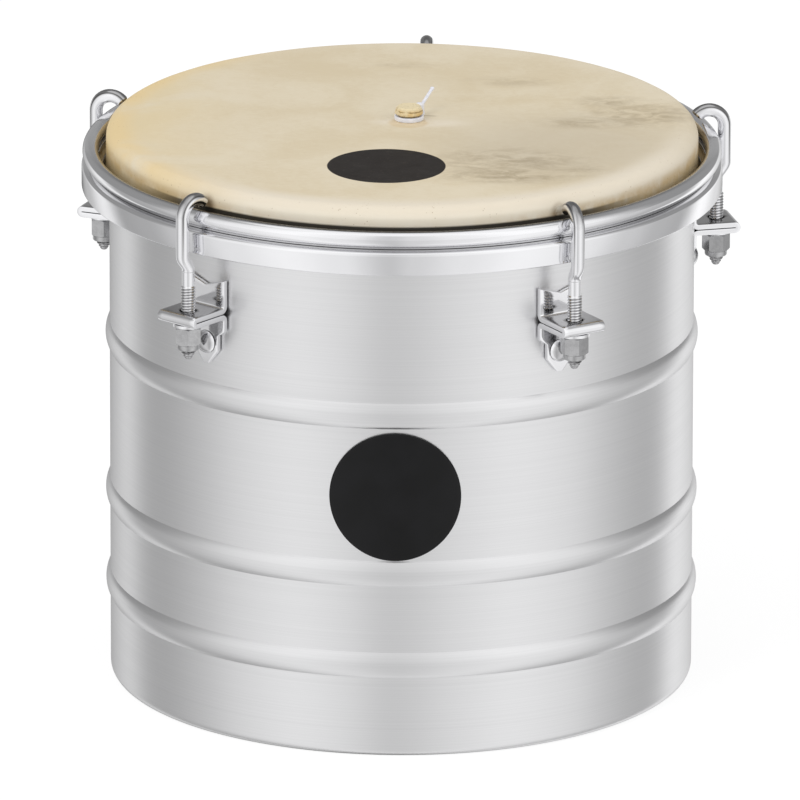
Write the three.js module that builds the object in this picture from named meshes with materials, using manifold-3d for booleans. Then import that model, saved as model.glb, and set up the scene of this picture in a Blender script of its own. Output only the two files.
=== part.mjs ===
// A cuica: a steel friction drum with a goatskin head, five hook rods and a bamboo stick inside.
// Millimetres, +Z up. The origin is the middle of the foot of the bounding box.
// The front, with the round badge, faces -Y, and the lug at the back faces +Y.
import * as THREE from "three";
import { mergeVertices } from "three/addons/utils/BufferGeometryUtils.js";
import Module from "manifold-3d";

const wasm = await Module();
wasm.setup();
const degrees = THREE.MathUtils.degToRad;

// Counts
const lugCount = 5;
const ringSegments = 40;
const discSegments = 24;
const boltSegments = 12;
const rodSides = 8;
const arcSteps = 4;

// Fits
const seatGap = 0.3;
const slideGap = 0.5;
const threadGap = 0.35;
const cutOverrun = 5;

// Shell: a rolled steel tube with three beads, a curled foot and a turned-in rim
const shellRadius = 127;
const shellHeight = 245.9;
const shellWall = 1.5;
const footRadius = 4;
const footLip = 5;
const rimRadius = 4.1;
const rimLip = 3;
const beadWidth = 11.4;
const beadHeight = 1.85;
const highBeadDrop = 92;
const middleBeadDrop = 70.9;
const lowBeadShare = 0.5024;

// Head: a goatskin lapped round a steel flesh hoop
const skinThickness = 1.2;
const fleshHoopRadius = 2.4;
const lapOpening = degrees(70);

// Counter hoop: an angle-section band with a round wire on its shelf
const hoopDrop = 15.7;
const hoopSkinGap = 3.1;
const wireRadius = 3.5;
const bandReach = 3.9;
const bandWall = 2.4;
const bandHeight = 11.3;
const bandCornerRadius = 2;
const shelfFall = 1.1;
const shelfFallStart = 0.6;
const shelfCornerTurn = degrees(69);

// Hook rods: a drawn rod with a hook at the top and a rolled thread on its thinner foot
const hookRadius = 2.9;
const hookFootRadius = 2.65;
const hookShoulder = 0.6;
const threadRadius = 3.175;
const hookArchOut = 2.3;
const hookArchUp = 1.4;
const hookArchGap = 0.9;
const hookArchEnd = degrees(140);
const hookTurns = [-10.7, -3, 4, 2, -3.3].map(degrees);
const hookJogDrop = 6;
const threadAboveFlange = 11.8;
const tipBelowNut = 1.2;
const tipLength = 3;
const tipRadius = 1.3;

// Lug brackets: one folded strip of sheet steel
const lugSheet = 2.35;
const foldSlit = 0.3;
const lugWidth = 20.5;
const lugDrop = 25.2;
const flangeReach = 22.5;
const rodReach = 14.05;
const rodHoleRadius = 3.7;
const bendRadius = 0.9;
const slitDepth = 16;
const upperPlateRise = 12.3;
const notchDepth = 3.2;
const wideDrop = 5.4;
const shoulderDrop = 2.8;
const tabWidth = 12.9;
const tabPointRise = 6.2;
const tabPointWidth = 2.6;
const tabDrop = 21;

// Bracket bolts: a domed head outside, a washer and a nut inside the shell
const boltDrop = 11.5;
const boltRadius = 3;
const boltHeadRadius = 5.1;
const boltHeadHeight = 3;
const boltTail = 2;
const innerWasherRadius = 6;
const innerWasherThickness = 1.6;
const innerWasherSeat = 0.6;
const innerNutFlats = 10;
const innerNutHeight = 5;

// Tension nuts and washers
const washerRadius = 6.6;
const washerThickness = 1.3;
const nutFlats = 10.6;
const nutHexHeight = 8;
const nutCollarRadius = 4.9;
const nutCollarHeight = 2.4;
const nutChamfer = 0.9;
const nutTurns = [-13.6, -13.6, 10, -7.6, -19.6].map(degrees);

// Badge: a thin black disc bent to the shell
const badgeRadius = 28.2;
const badgeThickness = 0.9;
const badgeDrop = 37.1;
const badgeAngle = degrees(3.2);

// Friction stick with a turned head, the skin gathered over that head, and the tie below it
const stickOffX = 2.7;
const stickOffY = 4;
const stickRadius = 3.5;
const stickLength = 222;
const stickNeckRadius = 2.5;
const stickNeckLength = 6;
const stickHeadRadius = 4.4;
const stickHeadHeight = 1.7;
const stickHeadBevel = 0.8;
const neckGap = 0.7;
const buttonWall = 1.2;
const buttonFootReach = 2.3;
const buttonRound = 1.3;
const headEndGap = 0.35;
const tieWall = 1.7;
const tieHeight = 2.1;
const tieBlockWidth = 3.6;
const tieBlockDepth = 3.4;
const tieBlockFoot = 1.8;
const tieBlockHeight = 4.4;
const tieTailWidth = 2.4;
const tieTailThickness = 1.1;
const tieTailLength = 13;
const tieTailRise = degrees(27);
const tieTailSwing = degrees(15);
const tieTurn = degrees(57.5);

// Worked out: the shell and its head
const shellInner = shellRadius - shellWall;
const rimZ = shellHeight - rimRadius;
const highBeadZ = shellHeight - highBeadDrop;
const middleBeadZ = highBeadZ - middleBeadDrop;
const lowBeadZ = middleBeadZ * lowBeadShare;
const badgeZ = highBeadZ - badgeDrop;
const headTopZ = shellHeight + seatGap + skinThickness;
const skinRadius = shellRadius + seatGap + skinThickness;
const lapRadius = fleshHoopRadius + seatGap + skinThickness;
const fleshHoopCentre = shellRadius + seatGap + lapRadius;

// Worked out: the counter hoop, seated on the lapped flesh hoop
const bandTopZ = headTopZ - hoopDrop;
const bandBottomZ = bandTopZ - bandHeight;
const fleshHoopZ = bandTopZ - bandWall - seatGap - lapRadius;
const wireCentre = skinRadius + hoopSkinGap + wireRadius;
const wireZ = bandTopZ + seatGap + wireRadius;
const bandOuter = wireCentre + bandReach;

// Worked out: the lugs, rods and nuts
const rodCentre = shellRadius + rodReach;
const lugInner = shellRadius + seatGap;
const lugFace = lugInner + lugSheet;
const lugOuter = shellRadius + flangeReach;
const flangeThickness = 2 * lugSheet + foldSlit;
const flangeTopZ = bandBottomZ - lugDrop;
const flangeBottomZ = flangeTopZ - flangeThickness;
const boltZ = flangeBottomZ - boltDrop;
const washerTopZ = flangeBottomZ - seatGap;
const nutTopZ = washerTopZ - washerThickness - seatGap;
const nutCollarZ = nutTopZ - nutHexHeight;
const nutBottomZ = nutCollarZ - nutCollarHeight;
const axisY = (bandOuter - lugOuter) / 2;

// Worked out: the stick and the skin gathered over it, as heights above the head
const neckInner = stickNeckRadius + neckGap;
const neckOuter = neckInner + buttonWall;
const buttonFoot = neckOuter + buttonFootReach;
const skinHole = buttonFoot + seatGap;
const tieBottom = seatGap;
const tieTop = tieBottom + tieHeight;
const buttonFloor = tieTop + seatGap;
const chamberFloor = buttonFloor + headEndGap;
const chamberTop = chamberFloor + stickHeadHeight + 2 * headEndGap;
const chamberRadius = stickHeadRadius + slideGap;
const buttonRadius = chamberRadius + buttonWall;
const buttonTop = chamberTop + buttonWall;
const stickTop = chamberFloor - headEndGap / 2;

// Materials
function steel(color, roughness) {
  return new THREE.MeshStandardMaterial({ color, roughness, metalness: 1 });
}
function matte(color, roughness) {
  return new THREE.MeshStandardMaterial({ color, roughness, metalness: 0 });
}
const brushedSteel = steel(0xc6c7c8, 0.35);
const chrome = steel(0xe2e3e5, 0.08);
const zinc = steel(0xb4b6b8, 0.3);
const goatskin = matte(0xdacdb2, 0.75);
const bamboo = matte(0xc9a668, 0.55);
const nylon = matte(0xe9edf1, 0.35);
const badgeBlack = matte(0x16171a, 0.3);

// Turns a closed geometry into a solid that can be joined and cut
function solidOf(geometry) {
  const bare = geometry.clone();
  bare.deleteAttribute("normal");
  bare.deleteAttribute("uv");
  const merged = mergeVertices(bare, 1e-4);
  const mesh = new wasm.Mesh({
    numProp: 3,
    vertProperties: new Float32Array(merged.attributes.position.array),
    triVerts: new Uint32Array(merged.index.array),
  });
  return new wasm.Manifold(mesh);
}

// Turns a solid back into a geometry
function geometryOf(solid) {
  const mesh = solid.getMesh();
  const geometry = new THREE.BufferGeometry();
  geometry.setAttribute("position", new THREE.BufferAttribute(mesh.vertProperties, mesh.numProp));
  geometry.setIndex(new THREE.BufferAttribute(mesh.triVerts, 1));
  geometry.computeVertexNormals();
  return geometry;
}

function cut(geometry, ...tools) {
  return geometryOf(tools.reduce((rest, tool) => rest.subtract(solidOf(tool)), solidOf(geometry)));
}

function join(geometry, ...others) {
  return geometryOf(others.reduce((all, other) => all.add(solidOf(other)), solidOf(geometry)));
}

function common(geometry, other) {
  return geometryOf(solidOf(geometry).intersect(solidOf(other)));
}

// Points [across, up] on an arc, from one angle to another, both ends included
function arc(centreAcross, centreUp, radius, from, to, steps) {
  return Array.from({ length: steps + 1 }, (_, i) => {
    const angle = from + ((to - from) * i) / steps;
    return [centreAcross + radius * Math.cos(angle), centreUp + radius * Math.sin(angle)];
  });
}

// A body turned round Z from an outline of [radius, height] points that closes on itself or on the axis
function turned(outline, segments) {
  const area = outline.reduce((sum, [r, z], i) => {
    const [nextR, nextZ] = outline[(i + 1) % outline.length];
    return sum + r * nextZ - nextR * z;
  }, 0);
  const onAxis = outline[0][0] === 0;
  const loop = onAxis ? [...outline] : [...outline, outline[0]];
  if (area < 0) loop.reverse();
  const profile = loop.map(([r, z]) => new THREE.Vector2(r, z));
  return new THREE.LatheGeometry(profile, segments).rotateX(Math.PI / 2);
}

// A straight round bar along Z between two heights
function bar(radius, bottomZ, topZ, segments) {
  const made = new THREE.CylinderGeometry(radius, radius, topZ - bottomZ, segments);
  return made.rotateX(Math.PI / 2).translate(0, 0, (bottomZ + topZ) / 2);
}

// A hexagonal bar along Z between two heights, from its width across the flats
function hexBar(flats, bottomZ, topZ) {
  return bar(flats / Math.sqrt(3), bottomZ, topZ, 6);
}

// A round bar along -Y, the way out of the drum at the front, between two distances from the axis
function spoke(radius, from, to, z) {
  return bar(radius, from, to, boltSegments).rotateX(Math.PI / 2).translate(0, 0, z);
}

// A piece drawn from the side at the front of the drum: [distance from the axis, height], with its width
function sidePiece(outline, width) {
  const shape = new THREE.Shape(outline.map(([r, z]) => new THREE.Vector2(r, z)));
  const made = new THREE.ExtrudeGeometry(shape, { depth: width, bevelEnabled: false });
  return made.translate(0, 0, -width / 2).rotateX(Math.PI / 2).rotateZ(-Math.PI / 2);
}

// A piece drawn from the front: [along the shell, height], between two distances from the axis
function facePiece(outline, from, to) {
  const shape = new THREE.Shape(outline.map(([t, z]) => new THREE.Vector2(t, z)));
  const made = new THREE.ExtrudeGeometry(shape, { depth: to - from, bevelEnabled: false });
  return made.rotateX(Math.PI / 2).translate(0, -from, 0);
}

// A round rod through a list of points, square at both ends
function rodThrough(points, radius) {
  const last = points.length - 1;
  const path = new THREE.CatmullRomCurve3(points);
  path.getPointAt = (t) => points[Math.round(t * last)].clone();
  path.getTangentAt = (t) => {
    const i = Math.round(t * last);
    return points[Math.min(i + 1, last)].clone().sub(points[Math.max(i - 1, 0)]).normalize();
  };
  const section = new THREE.Shape();
  section.absarc(0, 0, radius, 0, 2 * Math.PI);
  return new THREE.ExtrudeGeometry(section, {
    steps: last,
    extrudePath: path,
    curveSegments: rodSides / 2,
  });
}

// Puts a named mesh in a group
function place(group, name, geometry, material) {
  const mesh = new THREE.Mesh(geometry, material);
  mesh.name = name;
  group.add(mesh);
}

// The three beads, rising, at an inset from the outer face
function beads(inset) {
  const radius = (beadWidth ** 2 / 4 + beadHeight ** 2) / (2 * beadHeight);
  const half = Math.asin(beadWidth / 2 / radius);
  const centre = shellRadius + beadHeight - radius - inset;
  return [lowBeadZ, middleBeadZ, highBeadZ].flatMap((z) => arc(centre, z, radius, -half, half, arcSteps));
}

// Shell: up the outer face, in over the rim, and back down inside at one wall's distance
function shellGeometry() {
  const footCentre = shellRadius - footRadius;
  const rimCentre = shellRadius - rimRadius;
  const quarter = Math.PI / 2;
  const outline = [
    [footCentre - footLip, 0],
    ...arc(footCentre, footRadius, footRadius, -quarter, 0, arcSteps),
    ...beads(0),
    ...arc(rimCentre, rimZ, rimRadius, 0, quarter, arcSteps),
    [rimCentre - rimLip, shellHeight],
    [rimCentre - rimLip, shellHeight - shellWall],
    ...arc(rimCentre, rimZ, rimRadius - shellWall, quarter, 0, arcSteps / 2),
    ...beads(shellWall).reverse(),
    ...arc(footCentre, footRadius, footRadius - shellWall, 0, -quarter, arcSteps / 2),
    [footCentre - footLip, shellWall],
  ];
  const bores = lugAngles.map((angle) =>
    spoke(boltRadius + threadGap, shellInner - cutOverrun, shellRadius + cutOverrun, boltZ).rotateZ(angle));
  return cut(turned(outline, ringSegments), ...bores);
}

// Head skin: flat top with a hole for the stick, round shoulder, skirt, and the lap that holds the hoop
function skinGeometry() {
  const lapStart = Math.PI;
  const lapEnd = 3 * Math.PI - lapOpening;
  const side = (top, shoulder, lap) => [
    [0, top],
    ...arc(shellRadius - rimRadius, rimZ, shoulder, Math.PI / 2, 0, arcSteps),
    ...arc(fleshHoopCentre, fleshHoopZ, lap, lapStart, lapEnd, 2 * arcSteps),
  ];
  const outside = side(headTopZ, rimRadius + seatGap + skinThickness, lapRadius - skinThickness);
  const inside = side(headTopZ - skinThickness, rimRadius + seatGap, lapRadius);
  const hole = bar(skinHole, rimZ, headTopZ + cutOverrun, discSegments).translate(stickOffX, stickOffY, 0);
  return cut(turned([...outside, ...inside.reverse()], ringSegments), hole);
}

function fleshHoopGeometry() {
  return turned(arc(fleshHoopCentre, fleshHoopZ, fleshHoopRadius, 0, 1.75 * Math.PI, 7), ringSegments);
}

// Counter hoop band: a skirt, a round corner, and a shelf that falls outwards from under the wire
function bandGeometry() {
  const cornerCentre = bandOuter - bandCornerRadius;
  const cornerZ = bandTopZ - shelfFall - bandCornerRadius;
  const shelfEnd = wireCentre - wireRadius;
  const outline = [
    [bandOuter - bandWall, bandBottomZ],
    [bandOuter, bandBottomZ],
    ...arc(cornerCentre, cornerZ, bandCornerRadius, 0, shelfCornerTurn, arcSteps / 2),
    [wireCentre - shelfFallStart, bandTopZ],
    [shelfEnd, bandTopZ],
    [shelfEnd, bandTopZ - bandWall],
    [bandOuter - bandWall, bandTopZ - bandWall],
  ];
  return turned(outline, ringSegments);
}

function wireGeometry() {
  return turned(arc(wireCentre, wireZ, wireRadius, 0, 1.8 * Math.PI, 9), ringSegments);
}

// How far the wire reaches from the centre of the hook's arch, at an angle of that arch
function wireReach(angle) {
  const away = Math.hypot(hookArchOut, hookArchUp);
  const side = angle - Math.atan2(-hookArchUp, -hookArchOut);
  return away * Math.cos(side) + Math.sqrt(wireRadius ** 2 - (away * Math.sin(side)) ** 2);
}

// Hook rod: thread, a jog out past the band, the shank and the arch, turned a little on its thread
function hookGeometry(turn) {
  const archRadius = wireReach(hookArchEnd) + hookArchGap + hookRadius;
  const archCentre = wireCentre + hookArchOut;
  const shankCentre = archCentre + archRadius;
  const threadTop = flangeTopZ + threadAboveFlange;
  const jogBottom = bandBottomZ - hookJogDrop;
  const jog = Array.from({ length: arcSteps + 1 }, (_, i) => {
    const share = i / arcSteps;
    const eased = (1 - Math.cos(Math.PI * share)) / 2;
    return [rodCentre + (shankCentre - rodCentre) * eased, jogBottom + hookJogDrop * share];
  });
  const arch = arc(archCentre, wireZ + hookArchUp, archRadius, 0, hookArchEnd, 2 * arcSteps);
  const route = [[rodCentre, jogBottom - hookShoulder], ...jog, ...arch];
  const points = route.map(([r, z]) => new THREE.Vector3(0, rodCentre - r, z));
  const drawn = rodThrough(points, hookRadius);
  const tipZ = nutBottomZ - tipBelowNut;
  const outline = [
    [0, tipZ - tipLength],
    [tipRadius, tipZ - tipLength],
    [threadRadius, tipZ],
    [threadRadius, threadTop],
    [hookFootRadius, threadTop],
    [hookFootRadius, jogBottom],
    [0, jogBottom],
  ];
  return join(drawn, turned(outline, boltSegments)).rotateZ(turn).translate(0, -rodCentre, 0);
}

// Lug bracket: seen from the side, a strip that runs down the shell, out, back, and down again
function bracketGeometry() {
  const bendCentre = lugFace + bendRadius;
  const outerBend = bendRadius + lugSheet;
  const nose = flangeThickness / 2;
  const topZ = flangeTopZ + upperPlateRise;
  const bottomZ = flangeBottomZ - tabDrop;
  const quarter = Math.PI / 2;
  const profile = [
    [lugFace, topZ],
    ...arc(bendCentre, flangeTopZ + bendRadius, bendRadius, 2 * quarter, 3 * quarter, arcSteps / 2),
    ...arc(lugOuter - nose, flangeTopZ - nose, nose, quarter, -quarter, 2 * arcSteps),
    ...arc(bendCentre, flangeBottomZ - bendRadius, bendRadius, quarter, 2 * quarter, arcSteps / 2),
    [lugFace, bottomZ],
    [lugInner, bottomZ],
    ...arc(bendCentre, flangeBottomZ - bendRadius, outerBend, 2 * quarter, quarter, arcSteps),
    [lugInner + slitDepth, flangeBottomZ + lugSheet],
    [lugInner + slitDepth, flangeTopZ - lugSheet],
    ...arc(bendCentre, flangeTopZ + bendRadius, outerBend, -quarter, -2 * quarter, arcSteps),
    [lugInner, topZ],
  ];
  const half = lugWidth / 2;
  const notch = [
    [-half, topZ],
    [0, topZ - notchDepth],
    [half, topZ],
    [half, topZ + cutOverrun],
    [-half, topZ + cutOverrun],
  ];
  const wideZ = flangeBottomZ - wideDrop;
  const beside = (hand) => [
    [hand * (half + cutOverrun), wideZ],
    [hand * half, wideZ],
    [hand * (tabWidth / 2), wideZ - shoulderDrop],
    [hand * (tabWidth / 2), bottomZ + tabPointRise],
    [hand * (tabPointWidth / 2), bottomZ],
    [hand * (tabPointWidth / 2), bottomZ - cutOverrun],
    [hand * (half + cutOverrun), bottomZ - cutOverrun],
  ];
  const from = lugInner - cutOverrun;
  const to = lugFace + cutOverrun;
  return cut(
    sidePiece(profile, lugWidth),
    facePiece(notch, from, to),
    facePiece(beside(1), from, to),
    facePiece(beside(-1), from, to),
    spoke(boltRadius + threadGap, from, to, boltZ),
    bar(rodHoleRadius, flangeBottomZ - cutOverrun, flangeTopZ + cutOverrun, boltSegments)
      .translate(0, -rodCentre, 0),
  );
}

// A flat ring along Z between two heights
function ringGeometry(radius, bore, bottomZ, topZ, segments) {
  const outline = [[bore, bottomZ], [radius, bottomZ], [radius, topZ], [bore, topZ]];
  return turned(outline, segments);
}

function washerGeometry() {
  const bore = threadRadius + threadGap;
  const made = ringGeometry(washerRadius, bore, washerTopZ - washerThickness, washerTopZ, boltSegments);
  return made.translate(0, -rodCentre, 0);
}

// Tension nut: a hexagon over a round collar, bored for the rod, left at its own turn
function nutGeometry(turn) {
  const collar = turned([
    [0, nutBottomZ],
    [nutCollarRadius - nutChamfer, nutBottomZ],
    [nutCollarRadius, nutBottomZ + nutChamfer],
    [nutCollarRadius, nutTopZ - nutChamfer],
    [0, nutTopZ - nutChamfer],
  ], boltSegments);
  const bore = bar(threadRadius + threadGap, nutBottomZ - cutOverrun, nutTopZ + cutOverrun, boltSegments);
  const made = cut(join(hexBar(nutFlats, nutCollarZ, nutTopZ), collar), bore);
  return made.rotateZ(turn).translate(0, -rodCentre, 0);
}

// Bracket bolt, its washer and its nut lie along the way out of the drum at the bolt's height
const innerWasherOuter = shellInner - innerWasherSeat;
const innerNutOuter = innerWasherOuter - innerWasherThickness - seatGap;
const innerNutEnd = innerNutOuter - innerNutHeight;
function boltGeometry() {
  const under = lugFace + seatGap;
  const domeRadius = (boltHeadRadius ** 2 + boltHeadHeight ** 2) / (2 * boltHeadHeight);
  const half = Math.asin(boltHeadRadius / domeRadius);
  const dome = arc(0, under + boltHeadHeight - domeRadius, domeRadius,
    Math.PI / 2 - half, Math.PI / 2, arcSteps).slice(0, -1);
  const outline = [
    [0, innerNutEnd - boltTail],
    [boltRadius, innerNutEnd - boltTail],
    [boltRadius, under],
    ...dome,
    [0, under + boltHeadHeight],
  ];
  return turned(outline, boltSegments).rotateX(Math.PI / 2).translate(0, 0, boltZ);
}

function innerWasherGeometry() {
  const bore = boltRadius + threadGap;
  const made = ringGeometry(innerWasherRadius, bore, innerWasherOuter - innerWasherThickness,
    innerWasherOuter, boltSegments);
  return made.rotateX(Math.PI / 2).translate(0, 0, boltZ);
}

function innerNutGeometry() {
  const boreRadius = boltRadius + threadGap;
  const bore = bar(boreRadius, innerNutEnd - cutOverrun, innerNutOuter + cutOverrun, boltSegments);
  const made = cut(hexBar(innerNutFlats, innerNutEnd, innerNutOuter), bore);
  return made.rotateX(Math.PI / 2).translate(0, 0, boltZ);
}

// Badge: the part of a thin sleeve round the shell that lies inside a round cutter
function badgeGeometry() {
  const inner = shellRadius + seatGap;
  const outer = inner + badgeThickness;
  const tall = badgeRadius + cutOverrun;
  const sleeve = ringGeometry(outer, inner, badgeZ - tall, badgeZ + tall, ringSegments);
  const cutter = bar(badgeRadius, inner / 2, outer + cutOverrun, 2 * discSegments).rotateX(Math.PI / 2)
    .translate(0, 0, badgeZ).rotateZ(badgeAngle);
  return common(sleeve, cutter);
}

// Button: the skin that stands up round the stick's neck and closes over its head
function buttonGeometry() {
  const outline = [
    [neckInner, -skinThickness],
    [buttonFoot, -skinThickness],
    [buttonFoot, 0],
    [neckOuter, 0],
    [neckOuter, buttonFloor],
    [buttonRadius - buttonRound, buttonFloor],
    [buttonRadius, buttonFloor + buttonRound],
    [buttonRadius, buttonTop - buttonRound],
    [buttonRadius - buttonRound, buttonTop],
    [0, buttonTop],
    [0, chamberTop],
    [chamberRadius, chamberTop],
    [chamberRadius, chamberFloor],
    [neckInner, chamberFloor - headEndGap],
  ];
  const half = outline.findIndex(([r]) => r === 0);
  const fromAxis = [...outline.slice(half + 1), ...outline.slice(0, half + 1)];
  return turned(fromAxis, discSegments);
}

function stickHeadGeometry() {
  const bottom = chamberFloor + headEndGap;
  const top = bottom + stickHeadHeight;
  return turned([
    [0, bottom],
    [stickHeadRadius - stickHeadBevel, bottom],
    [stickHeadRadius, (bottom + top) / 2],
    [stickHeadRadius - stickHeadBevel, top],
    [0, top],
  ], discSegments);
}

// Stick: a bamboo rod with a narrower neck that passes through the skin
function stickGeometry() {
  const shoulder = stickTop - stickNeckLength;
  return turned([
    [0, stickTop - stickLength],
    [stickRadius, stickTop - stickLength],
    [stickRadius, shoulder - stickNeckRadius / 2],
    [stickNeckRadius, shoulder],
    [stickNeckRadius, stickTop],
    [0, stickTop],
  ], boltSegments);
}

// Cable tie: the ring round the neck, its ratchet block and the cut tail
function tieGeometry() {
  const inner = neckOuter + seatGap;
  const outer = inner + tieWall;
  const blockX = buttonRadius + seatGap + tieBlockDepth / 2;
  const ring = ringGeometry(outer, inner, tieBottom, tieTop, discSegments);
  const block = new THREE.BoxGeometry(tieBlockDepth, tieBlockWidth, tieBlockHeight)
    .translate(blockX, 0, tieBlockFoot + tieBlockHeight / 2);
  const bridge = new THREE.BoxGeometry(blockX - inner, tieBlockWidth, tieTop - tieBlockFoot)
    .translate((blockX + inner) / 2, 0, (tieTop + tieBlockFoot) / 2);
  const bridgeRoom = bar(inner, tieBottom - cutOverrun, tieTop + cutOverrun, discSegments);
  const tail = new THREE.BoxGeometry(tieTailLength, tieTailWidth, tieTailThickness)
    .translate(tieTailLength / 2, 0, 0)
    .rotateY(-tieTailRise)
    .rotateZ(tieTailSwing)
    .translate(blockX, 0, tieBlockFoot + tieBlockHeight / 2);
  return join(ring, cut(bridge, bridgeRoom), block, tail).rotateZ(tieTurn);
}

// The whole drum, on its axis
const cuica = new THREE.Group();
const drum = new THREE.Group();
drum.position.y = axisY;
cuica.add(drum);

const lugAngles = Array.from({ length: lugCount }, (_, i) => ((2 * i + 1) * Math.PI) / lugCount);

place(drum, "shell", shellGeometry(), brushedSteel);
place(drum, "head_skin", skinGeometry(), goatskin);
place(drum, "flesh_hoop", fleshHoopGeometry(), zinc);
place(drum, "hoop_band", bandGeometry(), chrome);
place(drum, "hoop_wire", wireGeometry(), chrome);
place(drum, "badge", badgeGeometry(), badgeBlack);

// What repeats at each lug
lugAngles.forEach((angle, i) => {
  const station = new THREE.Group();
  station.rotation.z = angle;
  drum.add(station);
  const number = i + 1;
  place(station, `hook_rod_${number}`, hookGeometry(hookTurns[i]), chrome);
  place(station, `lug_bracket_${number}`, bracketGeometry(), chrome);
  place(station, `tension_washer_${number}`, washerGeometry(), chrome);
  place(station, `tension_nut_${number}`, nutGeometry(nutTurns[i]), zinc);
  place(station, `bracket_bolt_${number}`, boltGeometry(), chrome);
  place(station, `inner_washer_${number}`, innerWasherGeometry(), zinc);
  place(station, `inner_nut_${number}`, innerNutGeometry(), zinc);
});

// The stick stands a little off the drum's axis, where the skin was tied
const stickStand = new THREE.Group();
stickStand.position.set(stickOffX, stickOffY, headTopZ);
drum.add(stickStand);
place(stickStand, "skin_button", buttonGeometry(), goatskin);
place(stickStand, "stick_head", stickHeadGeometry(), bamboo);
place(stickStand, "stick", stickGeometry(), bamboo);
place(stickStand, "cable_tie", tieGeometry(), nylon);

export default cuica;
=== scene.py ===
"""A cuica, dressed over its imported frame.

A friction drum stands on a pale floor: a brushed steel shell with three beads, a goatskin head under a chromed
counter hoop, five hook rods with their lugs, nuts and bolts, and a bamboo stick tied into the middle of the skin.
Pieces are shaped in millimetres about the drum's own axis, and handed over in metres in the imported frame.
"""

import logging
import math
from collections.abc import Callable, Iterable, Sequence
from dataclasses import dataclass, field
from enum import Enum

import bmesh
import bpy
from bmesh.types import BMesh
from mathutils import Matrix, Vector, noise


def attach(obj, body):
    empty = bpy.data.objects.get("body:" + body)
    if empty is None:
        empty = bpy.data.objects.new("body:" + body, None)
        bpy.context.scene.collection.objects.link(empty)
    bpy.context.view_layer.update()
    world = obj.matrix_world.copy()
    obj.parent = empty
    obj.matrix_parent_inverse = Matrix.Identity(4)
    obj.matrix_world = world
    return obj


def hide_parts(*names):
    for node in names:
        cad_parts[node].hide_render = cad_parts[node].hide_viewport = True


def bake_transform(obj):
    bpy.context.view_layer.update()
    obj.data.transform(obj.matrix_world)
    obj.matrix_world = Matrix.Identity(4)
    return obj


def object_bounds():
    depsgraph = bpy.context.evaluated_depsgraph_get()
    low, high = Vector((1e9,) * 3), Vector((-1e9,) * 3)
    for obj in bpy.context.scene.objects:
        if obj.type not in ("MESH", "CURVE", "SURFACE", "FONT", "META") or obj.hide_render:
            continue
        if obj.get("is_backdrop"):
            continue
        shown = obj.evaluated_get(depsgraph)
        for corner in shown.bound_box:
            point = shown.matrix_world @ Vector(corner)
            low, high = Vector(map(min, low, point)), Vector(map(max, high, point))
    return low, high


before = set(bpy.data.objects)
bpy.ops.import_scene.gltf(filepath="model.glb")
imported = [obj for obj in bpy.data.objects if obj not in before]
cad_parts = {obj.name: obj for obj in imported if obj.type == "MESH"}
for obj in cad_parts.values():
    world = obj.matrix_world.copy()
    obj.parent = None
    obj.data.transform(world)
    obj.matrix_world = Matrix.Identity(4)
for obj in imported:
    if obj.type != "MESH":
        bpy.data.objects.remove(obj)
cad_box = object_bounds()

log = logging.getLogger("cuica")

Point = tuple[float, float]
Triple = tuple[float, float, float]
Colour = tuple[float, float, float, float]
Rule = Callable[[Vector], Vector]

METRES = 0.001
TURN = 2 * math.pi
# The vertex layer that marks where chrome gets painted shade and painted dark reflections.
PAINTED_SHADE_LAYER = "groove"
WHITE = (1.0, 1.0, 1.0, 1.0)

# Places that several pieces share, in millimetres from the drum's axis, which stands at AXIS_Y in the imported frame.
AXIS_Y = -5.25
LUG_ANGLES = tuple(math.radians(angle) for angle in (36, 108, 180, 252, 324))
ROD_REACH = 141.05
BOLT_HEIGHT = 178.7
LAP_CENTRE = (131.2, 225.1)
TIE_CENTRE = (2.7, 4.0)
BAMBOO_NODES = (96.0, 188.0)


class Body(Enum):
    """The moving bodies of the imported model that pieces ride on."""

    DRUM = "drum"
    COUNTER_HOOP = "counter_hoop"
    SKIN_CENTRE = "skin_centre"
    STICK_TOP = "stick_top"
    STICK_ROD = "stick_rod"


class Slot(Enum):
    """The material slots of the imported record."""

    SHELL = "brushed_shell"
    CHROME = "chromed_steel"
    ZINC = "zinc_steel"
    GOATSKIN = "goatskin"
    BAMBOO = "bamboo"
    NYLON = "nylon"
    BADGE = "badge_black"


# Shader nodes


def tone(red: float, green: float, blue: float) -> Colour:
    """Gives the linear colour of a screen colour.

    Args:
        red: Red, 0 to 255.
        green: Green, 0 to 255.
        blue: Blue, 0 to 255.

    Returns:
        The linear red, green, blue and alpha.
    """
    parts = (red / 255, green / 255, blue / 255)
    linear = [part / 12.92 if part <= 0.04045 else ((part + 0.055) / 1.055) ** 2.4 for part in parts]
    return (linear[0], linear[1], linear[2], 1.0)


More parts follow.
